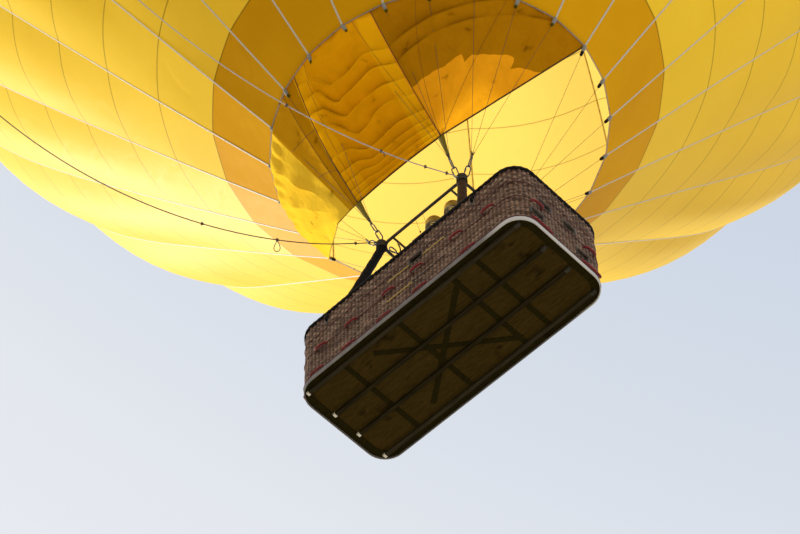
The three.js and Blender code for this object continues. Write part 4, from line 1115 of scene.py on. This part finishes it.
def plan_round(half_x, half_y, corner, count):
    """Points round a rounded rectangle: place, outward normal and distance, equally spaced."""
    straights = [half_y - corner, half_x - corner] * 2
    lengths = [length for half in straights for length in (2 * half, pi * corner / 2)]
    found = []
    for i in range(count):
        gone = i / count * sum(lengths)
        far, which = gone, 0
        while far > lengths[which]:
            far -= lengths[which]
            which += 1
        side = which // 2
        normal_angle = side * pi / 2
        if which % 2:
            angle = normal_angle + far / corner
            out = Vector((cos(angle), sin(angle)))
            centre = Vector((math.copysign(half_x - corner, cos(normal_angle + pi / 4)),
                             math.copysign(half_y - corner, sin(normal_angle + pi / 4))))
            found.append((centre + out * corner, out, gone))
        else:
            out = Vector((cos(normal_angle), sin(normal_angle)))
            along = Vector((-out.y, out.x)) * (far - straights[side])
            found.append((out * (half_y if side % 2 else half_x) + along, out, gone))
    return found


def raised(spot, up):
    """The point over a place in the basket's plan, at a height over the runners."""
    return Vector((spot.x, spot.y, up - LIFT))


def woven_cane(name, dark, mid, light, uv=True):
    """Wicker: uneven weavers, with painted shade in the gaps between rows and where a weaver dips behind a
    stake.
    """
    made, add, wire, shader = new_finish(name, {"Roughness": 0.55, "Specular IOR Level": 0.15})
    links = made.node_tree.links

    def math_node(operation, first, second=None, third=None):
        node = add("Math", operation=operation)
        for socket, value in zip(node.inputs, (first, second, third)):
            if isinstance(value, float):
                socket.default_value = value
            elif value is not None:
                links.new(value, socket)
        return node.outputs[0]

    place = add("TexCoord")
    split = add("SeparateXYZ")
    wire((place, "UV" if uv else "Object", split, "Vector"))
    x, y = split.outputs["X"], split.outputs["Y"]
    if not uv:
        x = math_node("MULTIPLY", math_node("ADD", x, y), STAKES_PER_METRE)
        y = math_node("MULTIPLY", split.outputs["Z"], WEAVERS_PER_METRE)
    row = math_node("FLOOR", y)
    in_row = math_node("PINGPONG", y, 0.5)
    block = math_node("FLOOR", math_node("MULTIPLY", y, BLOCK))
    phase = math_node("ADD", x, row)
    upper = math_node("MULTIPLY_ADD", math_node("GREATER_THAN", y, 33.0 if uv else 90.0), 0.65, 0.35)
    over_one = math_node("SINE", math_node("MULTIPLY", math_node("ADD", phase, 0.5), pi))
    in_block = math_node("ADD", math_node("ADD", x, block), 0.5)
    over_block = math_node("SINE", math_node("MULTIPLY", in_block, pi))
    over = math_node("ADD", math_node("MULTIPLY", over_one, 0.12),
                     math_node("MULTIPLY", math_node("MULTIPLY", over_block, upper), 0.30))
    stake = math_node("PINGPONG", x, 0.5)
    round_cane = math_node("MULTIPLY_ADD", math_node("SQRT", math_node("MULTIPLY", in_row, 2.0)), 0.45, 0.55)
    height = math_node("MULTIPLY", round_cane, math_node("ADD", over, 0.75))
    height = math_node("MULTIPLY", height, math_node("SUBTRACT", 1.12, math_node("MULTIPLY", stake, 1.25)))
    combine = add("CombineXYZ")
    chance = add("TexWhiteNoise", noise_dimensions="2D")
    cane = ramp_of(add, (0.0, tuple(value * 0.45 for value in mid)), (0.45, mid), (1.0, light))
    # Painted shade: the colour turns to the dark colour where the relief is low.
    shade = add("MapRange", {"From Min": 0.12, "From Max": 0.95})
    tint = add("Mix", {"A": (*dark, 1)}, data_type="RGBA")
    patches = add("TexNoise", {"Scale": 5, "Detail": 4})
    level = add("MapRange", {"From Min": 0.3, "From Max": 0.7, "To Min": 0.75, "To Max": 1.25})
    worn = add("HueSaturation")
    bump = add("Bump", {"Distance": 0.006})
    links.new(math_node("FLOOR", math_node("MULTIPLY", phase, 0.5)), combine.inputs["X"])
    links.new(row, combine.inputs["Y"])
    links.new(height, shade.inputs["Value"])
    links.new(height, bump.inputs["Height"])
    wire((combine, "Vector", chance, "Vector"), (chance, "Value", cane, "Fac"),
         (shade, "Result", tint, "Factor"), (cane, "Color", tint, "B"),
         (place, "Object", patches, "Vector"), (patches, "Fac", level, "Value"),
         (level, "Result", worn, "Value"), (tint, "Result", worn, "Color"),
         (worn, "Color", shader, "Base Color"), (bump, "Normal", shader, "Normal"))
    return made


HOLE_HALF_WIDE, HOLE_HALF_HIGH, HOLE_OVERLAP = 0.10, 0.06, 0.004
END_HOLES = [(-0.310, 0.620), (-0.460, 0.280), (0.110, 0.630), (0.310, 0.270)]
hole_places = [(Vector((end * WALL_X, end * across)), Vector((end, 0)), up) for end in (-1, 1)
               for across, up in END_HOLES]
hole_places += [(Vector((side * 0.19, -side * WALL_Y)), Vector((0, -side)), 0.785) for side in (-1, 1)]


def in_hole(place, up):
    for centre, normal, height in hole_places:
        apart = place - centre
        beside = abs(apart.x * normal.y - apart.y * normal.x) < HOLE_HALF_WIDE - HOLE_OVERLAP
        if beside and abs(apart.dot(normal)) < 0.1 and abs(up - height) < HOLE_HALF_HIGH - HOLE_OVERLAP:
            return True
    return False


def wall_part(columns, rows, inset, relief, inward):
    """One side of the wall: a woven sheet round the basket, open at the step holes."""
    plan = plan_round(WALL_X, WALL_Y, CORNER, columns)
    heights = steps(0.0755, 1.10, rows)
    per_stake = columns / STAKES
    order = -1 if inward else 1
    verts, faces, uvs = [], [], []
    for row, height in enumerate(heights):
        for i, (place, out, _) in enumerate(plan):
            stake = i / per_stake
            wave = relief * (0.75 * cos(2 * pi * stake) + 0.2 * cos(pi * (stake + row)))
            if height > 0.72:
                wave += relief * 0.35 * cos(pi * (stake + math.floor(height * WEAVERS_PER_METRE * BLOCK)))
            wave += relief * 0.5 * noise.noise((place.x * 6, place.y * 6, height * 6))
            verts.append(raised(place + out * (wave - inset), height))
    for j in range(rows):
        for i in range(columns):
            nxt = (i + 1) % columns
            if in_hole((plan[i][0] + plan[nxt][0]) / 2, (heights[j] + heights[j + 1]) / 2):
                continue
            a, b = i / per_stake, (i + 1) / per_stake
            low, high = heights[j] * WEAVERS_PER_METRE, heights[j + 1] * WEAVERS_PER_METRE
            face = (j * columns + i, j * columns + nxt, (j + 1) * columns + nxt, (j + 1) * columns + i)
            faces.append(face[::order])
            uvs.append(((a, low), (b, low), (b, high), (a, high))[::order])
    return verts, faces, uvs


def squarish(value, power):
    """A sine or cosine drawn out towards 1 and -1, which makes a circle squarer."""
    return math.copysign(abs(value) ** power, value)


wicker = woven_cane("woven willow", (0.018, 0.007, 0.004), (0.235, 0.120, 0.068), (0.50, 0.33, 0.22))
wicker_flat = woven_cane("woven willow inside", (0.024, 0.009, 0.005), (0.215, 0.110, 0.066),
                         (0.46, 0.30, 0.205), uv=False)
for name, per_stake, inset, relief, inward in (("basket_weave", 6, 0.002, 0.007, False),
                                               ("basket_weave_inside", 3, 0.027, 0.002, True)):
    woven = make_piece(name, [wall_part(STAKES * per_stake, 47, inset, relief, inward)], wicker)
    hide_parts("basket_wall")
dress("partition_1", wicker_flat)
dress("partition_2", wicker_flat)
pale_hide = mottled("pale hide", (0.065, 0.052, 0.042), (0.17, 0.145, 0.12), 13, 0.8, 0, 0.0008, 140)
LINING_STEPS = 32
HOLE_MARGIN = 0.002
LINING_PROFILE = [(0.017, 0.0075), (0.008, 0.0105), (-0.002, 0.004), (-0.002, -0.032), (0.008, -0.0385),
                  (0.017, -0.0355), (0.017, -0.030), (0.006, -0.030), (0.006, 0.002), (0.017, 0.002)]
for number, (centre, normal, height) in enumerate(hole_places, 1):
    along = Vector((-normal.y, normal.x))
    rings = []
    for angle in steps(0, 2 * pi, LINING_STEPS)[:-1]:
        across = squarish(cos(angle), 0.35) * (HOLE_HALF_WIDE + HOLE_MARGIN)
        up = squarish(sin(angle), 0.35) * (HOLE_HALF_HIGH + HOLE_MARGIN)
        grow = Vector((across, up)).normalized()
        rings.append([raised(centre + along * (across + grow.x * wider) + normal * proud,
                             height + up + grow.y * wider) for wider, proud in LINING_PROFILE])
    no_uvs = ([0] * (LINING_STEPS + 1), [(0, 0)] * len(LINING_PROFILE))
    ring_part = shell(rings, *no_uvs, closed=True, end_uvs=())
    lining = make_piece(f"hole_lining_{number}", [ring_part], pale_hide)
    edit_mesh(lining, lambda work: bmesh.ops.recalc_face_normals(work, faces=work.faces))
dark_pocket = mottled("dark hide pocket", (0.004, 0.004, 0.0035), (0.012, 0.011, 0.010), 20, 0.8, 0, 0.0006,
                      160, specular=0.05)
POCKET_WIDE, POCKET_HIGH = 0.236, 0.158


def pocket_point(centre, normal, height, side, up):
    """A point of the sheet that is stretched behind a step hole and bags inwards."""
    deep = 0.034 + 0.030 * arch(up) ** 0.6 * arch(side) ** 0.6
    beside = Vector((-normal.y, normal.x)) * (side - 0.5) * POCKET_WIDE
    return raised(centre + beside - normal * deep, height + (up - 0.5) * POCKET_HIGH)


sides, ups = steps(0, 1, 16), steps(0, 1, 12)
uv_rows = [[(side * 0.24, up * 0.16) for side in sides] for up in ups]
for number, hole in enumerate(hole_places, 1):
    rows = [[pocket_point(*hole, side, up) for side in sides] for up in ups]
    pocket = make_piece(f"hole_pocket_{number}", [grid_part(rows, uv_rows)], dark_pocket)

# Basket cap. Foam under black leather runs round the top edge, drawn down by a thong laced through the weave.
# The thong pulls the padding in at every fourth step round the edge.
cap_leather = mottled("black cap leather", (0.004, 0.004, 0.004), (0.013, 0.012, 0.011), 9, 0.6, 0, 0.0006,
                      220, specular=0.08)
CAP_STEPS, CAP_SIDES = 488, 16
CAP_HEIGHT, CAP_RISE = 1.130, 0.033
cap_plan = plan_round(1.8, 0.76, CORNER + 0.005, CAP_STEPS)
cap_section = []
for k in range(CAP_SIDES):
    angle = 2 * pi * k / CAP_SIDES
    across, up = squarish(cos(angle), 0.7), squarish(sin(angle), 0.8)
    cap_section.append((-0.045 + 0.060 * across, CAP_HEIGHT + CAP_RISE * up))
verts, faces, uvs = [], [], []
for i, (place, out, gone) in enumerate(cap_plan):
    pull = 0.0028 * cos(2 * pi * i / 4) + 0.002 * noise.noise((place.x * 5, place.y * 5, 2.0))
    for across, up in cap_section:
        under = max(0.0, (CAP_HEIGHT - up) / CAP_RISE)
        spot = place + out * (across + (pull * (0.4 + under) if across > -0.05 else 0))
        verts.append(raised(spot, up + (pull * 0.8 if up > CAP_HEIGHT else 0)))
    for k in range(CAP_SIDES):
        start, nxt, after = i * CAP_SIDES, (i + 1) % CAP_STEPS * CAP_SIDES, (k + 1) % CAP_SIDES
        faces.append((start + k, nxt + k, nxt + after, start + after))
        uvs.append([(gone, k / CAP_SIDES)] * 4)
cap = make_piece("basket_cap_padding", [(verts, faces, uvs)], cap_leather)
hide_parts("basket_cap")
thong = []
for place, out, _ in cap_plan[::3]:
    side = Vector((-out.y, out.x)) * 0.012
    thong.append(tube([raised(place + out * 0.004 - side, 1.070), raised(place + out * 0.010, 1.090),
                       raised(place + out * 0.010 + side, 1.115)], 0.004, 5))
make_piece("cap_lacing", thong, cap_leather)

# Rope handles. Dark red rope, as thick as a thumb, is spliced through the weave in loops, in two rows. A
# thinner and more faded rope runs through the weave in three lines round the basket.
red_rope = laid_rope("dark red rope", (0.075, 0.004, 0.004), (0.34, 0.014, 0.016), 0.05)
faded_rope = laid_rope("faded red rope", (0.05, 0.012, 0.010), (0.16, 0.045, 0.038), 0.05)
HANDLES = [(-1.35, 0.52), (-0.853, 0.51), (-0.25, 0.525), (0.205, 0.54), (0.83, 0.555), (1.33, 0.56)]
LOW_HANDLES = [(-1.43, 0.115), (-0.91, 0.115), (-0.34, 0.115), (0.23, 0.115), (0.985, 0.115)]
END_HANDLES = [(-0.46, 0.47), (0.43, 0.47), (-0.39, 0.115), (0.43, 0.115)]


def handle_part(centre, out, height):
    """A loop of rope. Carrying handles stand out; the low row lies along the base, longer at the ends."""
    along = Vector((-out.y, out.x))
    wide, proud, drop, thick = 0.086, 0.062, 0.045, 0.016
    if height < 0.2:
        proud, drop = 0.026, 0.006
        wide, thick = (0.165, 0.015) if abs(out.x) > 0.5 else (0.112, 0.012)
    bend = []
    for k in range(17):
        t = pi * k / 16
        spot = centre + along * (wide * cos(t)) + out * (proud * sin(t) ** 0.7 - 0.006)
        bend.append(raised(spot, height - drop * sin(t) ** 1.3))
    return tube(bend, thick, 8)


handle_rope = []
for side in (-1, 1):
    for x, height in HANDLES + LOW_HANDLES:
        handle_rope.append(handle_part(Vector((-side * x, side * WALL_Y)), Vector((0, side)), height))
    for y, height in END_HANDLES:
        handle_rope.append(handle_part(Vector((side * WALL_X, side * y)), Vector((side, 0)), height))
make_piece("rope_handles", handle_rope, red_rope)
line_plan = plan_round(WALL_X + 0.0035, WALL_Y + 0.0035, CORNER, 488)
line_rope = []
for height, radius in ((0.515, 0.0055), (0.83, 0.005), (0.088, 0.0075)):
    line_rope.append(tube([raised(place + out * 0.003 * sin(i * 0.77), height + 0.004 * sin(i * 0.39))
                           for i, (place, out, _) in enumerate(line_plan)], radius, 6, closed=True))
make_piece("rope_lines", line_rope, faded_rope)

# Cylinder straps. Webbing passes through the weave on each side and round the fuel cylinders behind it: a
# yellow one above, and below a yellow one joined to a black.
yellow_web = webbing("yellow strap", (0.30, 0.18, 0.03), (0.62, 0.42, 0.11))
black_web = webbing("black strap", (0.006, 0.006, 0.006), (0.022, 0.022, 0.022))


def strap_part(start_x, end_x, side, height, width=0.011):
    """A strap along one side of the basket, with its ends turned in through the weave."""
    low, high = sorted((-side * start_x, -side * end_x))
    places = [low - 0.004] + steps(low, high, 12) + [high + 0.004]
    rings = []
    for i, x in enumerate(places):
        deep = -0.012 if i in (0, len(places) - 1) else 0.0045 + 0.0012 * sin(i * 2.1)
        rings.append([Vector((x, side * (WALL_Y + deep + proud), height + up - LIFT))
                      for up, proud in ((-width, 0.0), (-width, 0.0022), (width, 0.0022), (width, 0.0))])
    return shell(rings, places, [(0, 0.02)] * 4, end_uvs=())


yellow_runs, black_runs = [], []
for side in (-1, 1):
    for start_x, end_x, height in ((-0.26, 0.08, 0.73), (0.30, 0.64, 0.73), (-0.28, 0.12, 0.34)):
        yellow_runs.append(strap_part(start_x, end_x, side, height))
    black_runs.append(strap_part(0.13, 0.66, side, 0.34, 0.009))
make_piece("yellow_straps", yellow_runs, yellow_web)
make_piece("black_straps", black_runs, black_web)

# Basket wires. Steel wires run under the floor and up inside the weave; their eyes come out under the cap,
# held by a leather patch, where the post sleeves' wires are shackled to them.
eye_parts, patch_parts = [], []
for side in (-1, 1):
    for x in (-1.26, 1.11):
        spot = Vector((-side * x, side * WALL_Y))
        out = Vector((0, side))
        eye = hoop(raised(spot + out * 0.014, 0.965), X * 0.026, Y * side * 0.004 + Z * 0.040, 18)
        eye_parts.append(tube(eye, 0.0045, 6, closed=True))
        shank = [raised(spot + out * 0.010, 0.925), raised(spot + out * 0.012, 0.880)]
        eye_parts.append(tube(shank, 0.008, 8))
        patch_parts.append(tube([raised(spot + Vector((-0.002, side * 0.004)), 1.055),
                                 raised(spot + out * 0.008, 0.985)], [0.034, 0.028], 8))
make_piece("wire_eyes", eye_parts, link_steel)
make_piece("eye_patches", patch_parts, cap_leather)

# Base. A hide binding covers the foot of the weave, scrubbed pale at one end. Inside it a timber rim and a
# stained plywood floor sit on cross bars, and four alloy runners carry the basket over the grass.
hide_band = mottled("grey hide band", (0.135, 0.12, 0.115), (0.26, 0.24, 0.225), 7, 0.7, 0, 0.001, 90,
                    specular=0.15)
band_add, band_wire = tree_tools(hide_band.node_tree)
band_shader = hide_band.node_tree.nodes["Principled BSDF"]
band_colour = band_shader.inputs["Base Color"].links[0].from_node
band_place = band_add("TexCoord")
band_split = band_add("SeparateXYZ")
scrubbed = band_add("MapRange", {"From Min": 1.15, "From Max": 1.55}, interpolation_type="SMOOTHSTEP")
pale_end = band_add("Mix", {"B": (0.60, 0.57, 0.54, 1)}, data_type="RGBA")
band_wire((band_place, "Object", band_split, "Vector"), (band_split, "X", scrubbed, "Value"),
          (scrubbed, "Result", pale_end, "Factor"), (band_colour, "Color", pale_end, "A"),
          (pale_end, "Result", band_shader, "Base Color"))
dress("base_band", hide_band)


def stained_wood(name, dark, light, stretch, marks=()):
    """Weathered timber: long grain, darker stains, dull varnish, and marks at (x, y, radius)."""
    made, add, wire, shader = new_finish(name, {"Roughness": 0.8, "Specular IOR Level": 0.02})
    place = add("TexCoord")
    mapping = add("Mapping", {"Scale": stretch})
    grain = add("TexNoise", {"Scale": 9, "Detail": 7, "Distortion": 0.6})
    colours = ramp_of(add, (0.3, dark), (0.7, light))
    stains = add("TexNoise", {"Scale": 2.6, "Detail": 5})
    stain_ramp = ramp_of(add, (0.30, (0.45, 0.42, 0.38)), (0.40, (1, 1, 1)))
    darkened_tone = add("Mix", {"Factor": 1}, data_type="RGBA", blend_type="MULTIPLY")
    bump = add("Bump", {"Distance": 0.0008})
    wire((place, "Object", mapping, "Vector"), (mapping, "Vector", grain, "Vector"),
         (place, "Object", stains, "Vector"), (grain, "Fac", colours, "Fac"),
         (stains, "Fac", stain_ramp, "Fac"), (colours, "Color", darkened_tone, "A"),
         (stain_ramp, "Color", darkened_tone, "B"), (grain, "Fac", bump, "Height"),
         (bump, "Normal", shader, "Normal"))
    tone = (darkened_tone, "Result")
    for mark_x, mark_y, size in marks:
        far = add("VectorMath", {1: (mark_x, mark_y, 0.041 - LIFT)}, operation="DISTANCE")
        ragged = add("Math", {1: size * 4}, operation="MULTIPLY_ADD")
        worn = add("MapRange", {"From Min": size * 2.0, "From Max": size * 3.4, "To Min": 0.45})
        marked = add("VectorMath", operation="SCALE")
        wire((place, "Object", far, 0), (grain, "Fac", ragged, 0), (far, "Value", ragged, 2),
             (ragged, 0, worn, "Value"), (*tone, marked, 0), (worn, "Result", marked, "Scale"))
        tone = (marked, "Vector")
    wire((*tone, shader, "Base Color"))
    return made


FLOOR_MARKS = [(-1.435, 0.018, 0.055), (1.372, -0.009, 0.06), (1.31, 0.05, 0.03), (1.397, -0.485, 0.035),
               (1.657, -0.067, 0.018), (1.653, 0.09, 0.018), (-0.9, -0.42, 0.05), (0.35, 0.45, 0.04)]
dark_timber = stained_wood("dark timber", (0.014, 0.011, 0.002), (0.026, 0.020, 0.004), (1, 6, 6))
plywood = stained_wood("stained plywood", (0.038, 0.023, 0.005), (0.066, 0.041, 0.009), (1, 5, 5),
                       FLOOR_MARKS)
for node in ("base_rim", "floor_braces", "cross_bar_1", "cross_bar_2"):
    dress(node, dark_timber)
dress("floor_board", plywood)
runner_alloy = mottled("scuffed runner", (0.010, 0.007, 0.002), (0.034, 0.024, 0.008), 3, 0.7, 0, 0.0003, 120,
                       (1, 12, 12), 0.05)
outer_runner = mottled("brown outer runner", (0.018, 0.013, 0.006), (0.055, 0.044, 0.024), 3, 0.7, 0,
                       0.0003, 120, (1, 12, 12), 0.05)
# The front tips, which face the key light, are pale all over: a painted highlight for the glint of the alloy.
# The back tips are dark.
glint_painted_tip = mottled("pale runner tip with painted glint", (0.80, 0.74, 0.64), (0.95, 0.90, 0.82), 30, 0.4, 0, 0.0001, 300)
dull_tip = mottled("dull runner tip", (0.024, 0.021, 0.014), (0.058, 0.052, 0.036), 30, 0.5, 0, 0.0001, 300,
                   specular=0.1)
for number in range(1, 5):
    low, high = (Vector(corner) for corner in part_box(f"runner_{number}"))
    centre = (low + high) / 2
    dress(f"runner_{number}", outer_runner if abs(low.y) > 0.5 else runner_alloy)
    for end_name, end_x, turned, long, finish in (("front", low.x, 1, 0.036, glint_painted_tip),
                                                  ("back", high.x, -1, 0.064, dull_tip)):
        deselect_all()
        middle_x = end_x + turned * (long / 2 - 0.003)
        bpy.ops.mesh.primitive_cube_add(size=1, location=(middle_x, centre.y, centre.z))
        tip = bpy.context.active_object
        tip.name = f"runner_tip_{number}_{end_name}"
        tip.dimensions = (long, high.y - low.y + 0.001, high.z - low.z + 0.001)
        bpy.ops.object.transform_apply(location=True, rotation=True, scale=True)
        bpy.ops.object.mode_set(mode="EDIT")
        bpy.ops.mesh.select_all(action="DESELECT")
        bpy.ops.object.mode_set(mode="OBJECT")
        for vertex in tip.data.vertices:
            vertex.select = (vertex.co.x - end_x) * turned < 0 and vertex.co.z > centre.z
        bpy.ops.object.mode_set(mode="EDIT")
        bpy.ops.transform.translate(value=(-turned * 0.014, 0, 0))
        bpy.ops.mesh.select_all(action="SELECT")
        bpy.ops.mesh.bevel(offset=0.002, segments=2)
        bpy.ops.object.mode_set(mode="OBJECT")
        tip.data.materials.append(finish)
        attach(tip, "root")
bolts = []
for y in (-0.64, -0.20, 0.20, 0.64):
    for x in (-1.55, -1.11, -0.245, 0.61, 0.975, 1.52):
        for dx, dy, low, radius in ((0.034, 0, 0.0307, 0.007), (0, 0.026, 0.0300, 0.006)):
            spot = Vector((x + dx, y + dy))
            bolts.append(tube([raised(spot, 0.0357), raised(spot, low)], radius, 6))
make_piece("floor_bolts", bolts, link_steel)

# Fuel cylinders. Four stand in padded covers in the corners of the pilot's bay, each with its tap inside
# the collar and two belts round it.
TAP_HEIGHT = 0.905
quilted = mottled("padded cover", (0.012, 0.012, 0.014), (0.040, 0.038, 0.042), 12, 0.8, 0, 0.002, 60)
for number, (sx, sy) in enumerate(CORNERS, 1):
    dress(f"fuel_cylinder_{number}", quilted)
    axis = Vector((sx * 0.33, sy * 0.488, -LIFT))
    tap = axis + Z * TAP_HEIGHT
    taps = [tube([axis + Z * 0.882, axis + Z * 0.925], 0.016, 10),
            tube([tap - X * 0.03, tap + X * 0.035], 0.010, 8),
            tube(hoop(tap + X * 0.033, Y * 0.026, Z * 0.026, 20), 0.005, 6, closed=True)]
    make_piece(f"cylinder_tap_{number}", taps, brass)
    belts = [tube(hoop(axis + Z * height, X * 0.1805, Y * 0.1805, 40), 0.004, 6, closed=True)
             for height in (0.34, 0.73)]
    make_piece(f"cylinder_belts_{number}", belts, yellow_web)
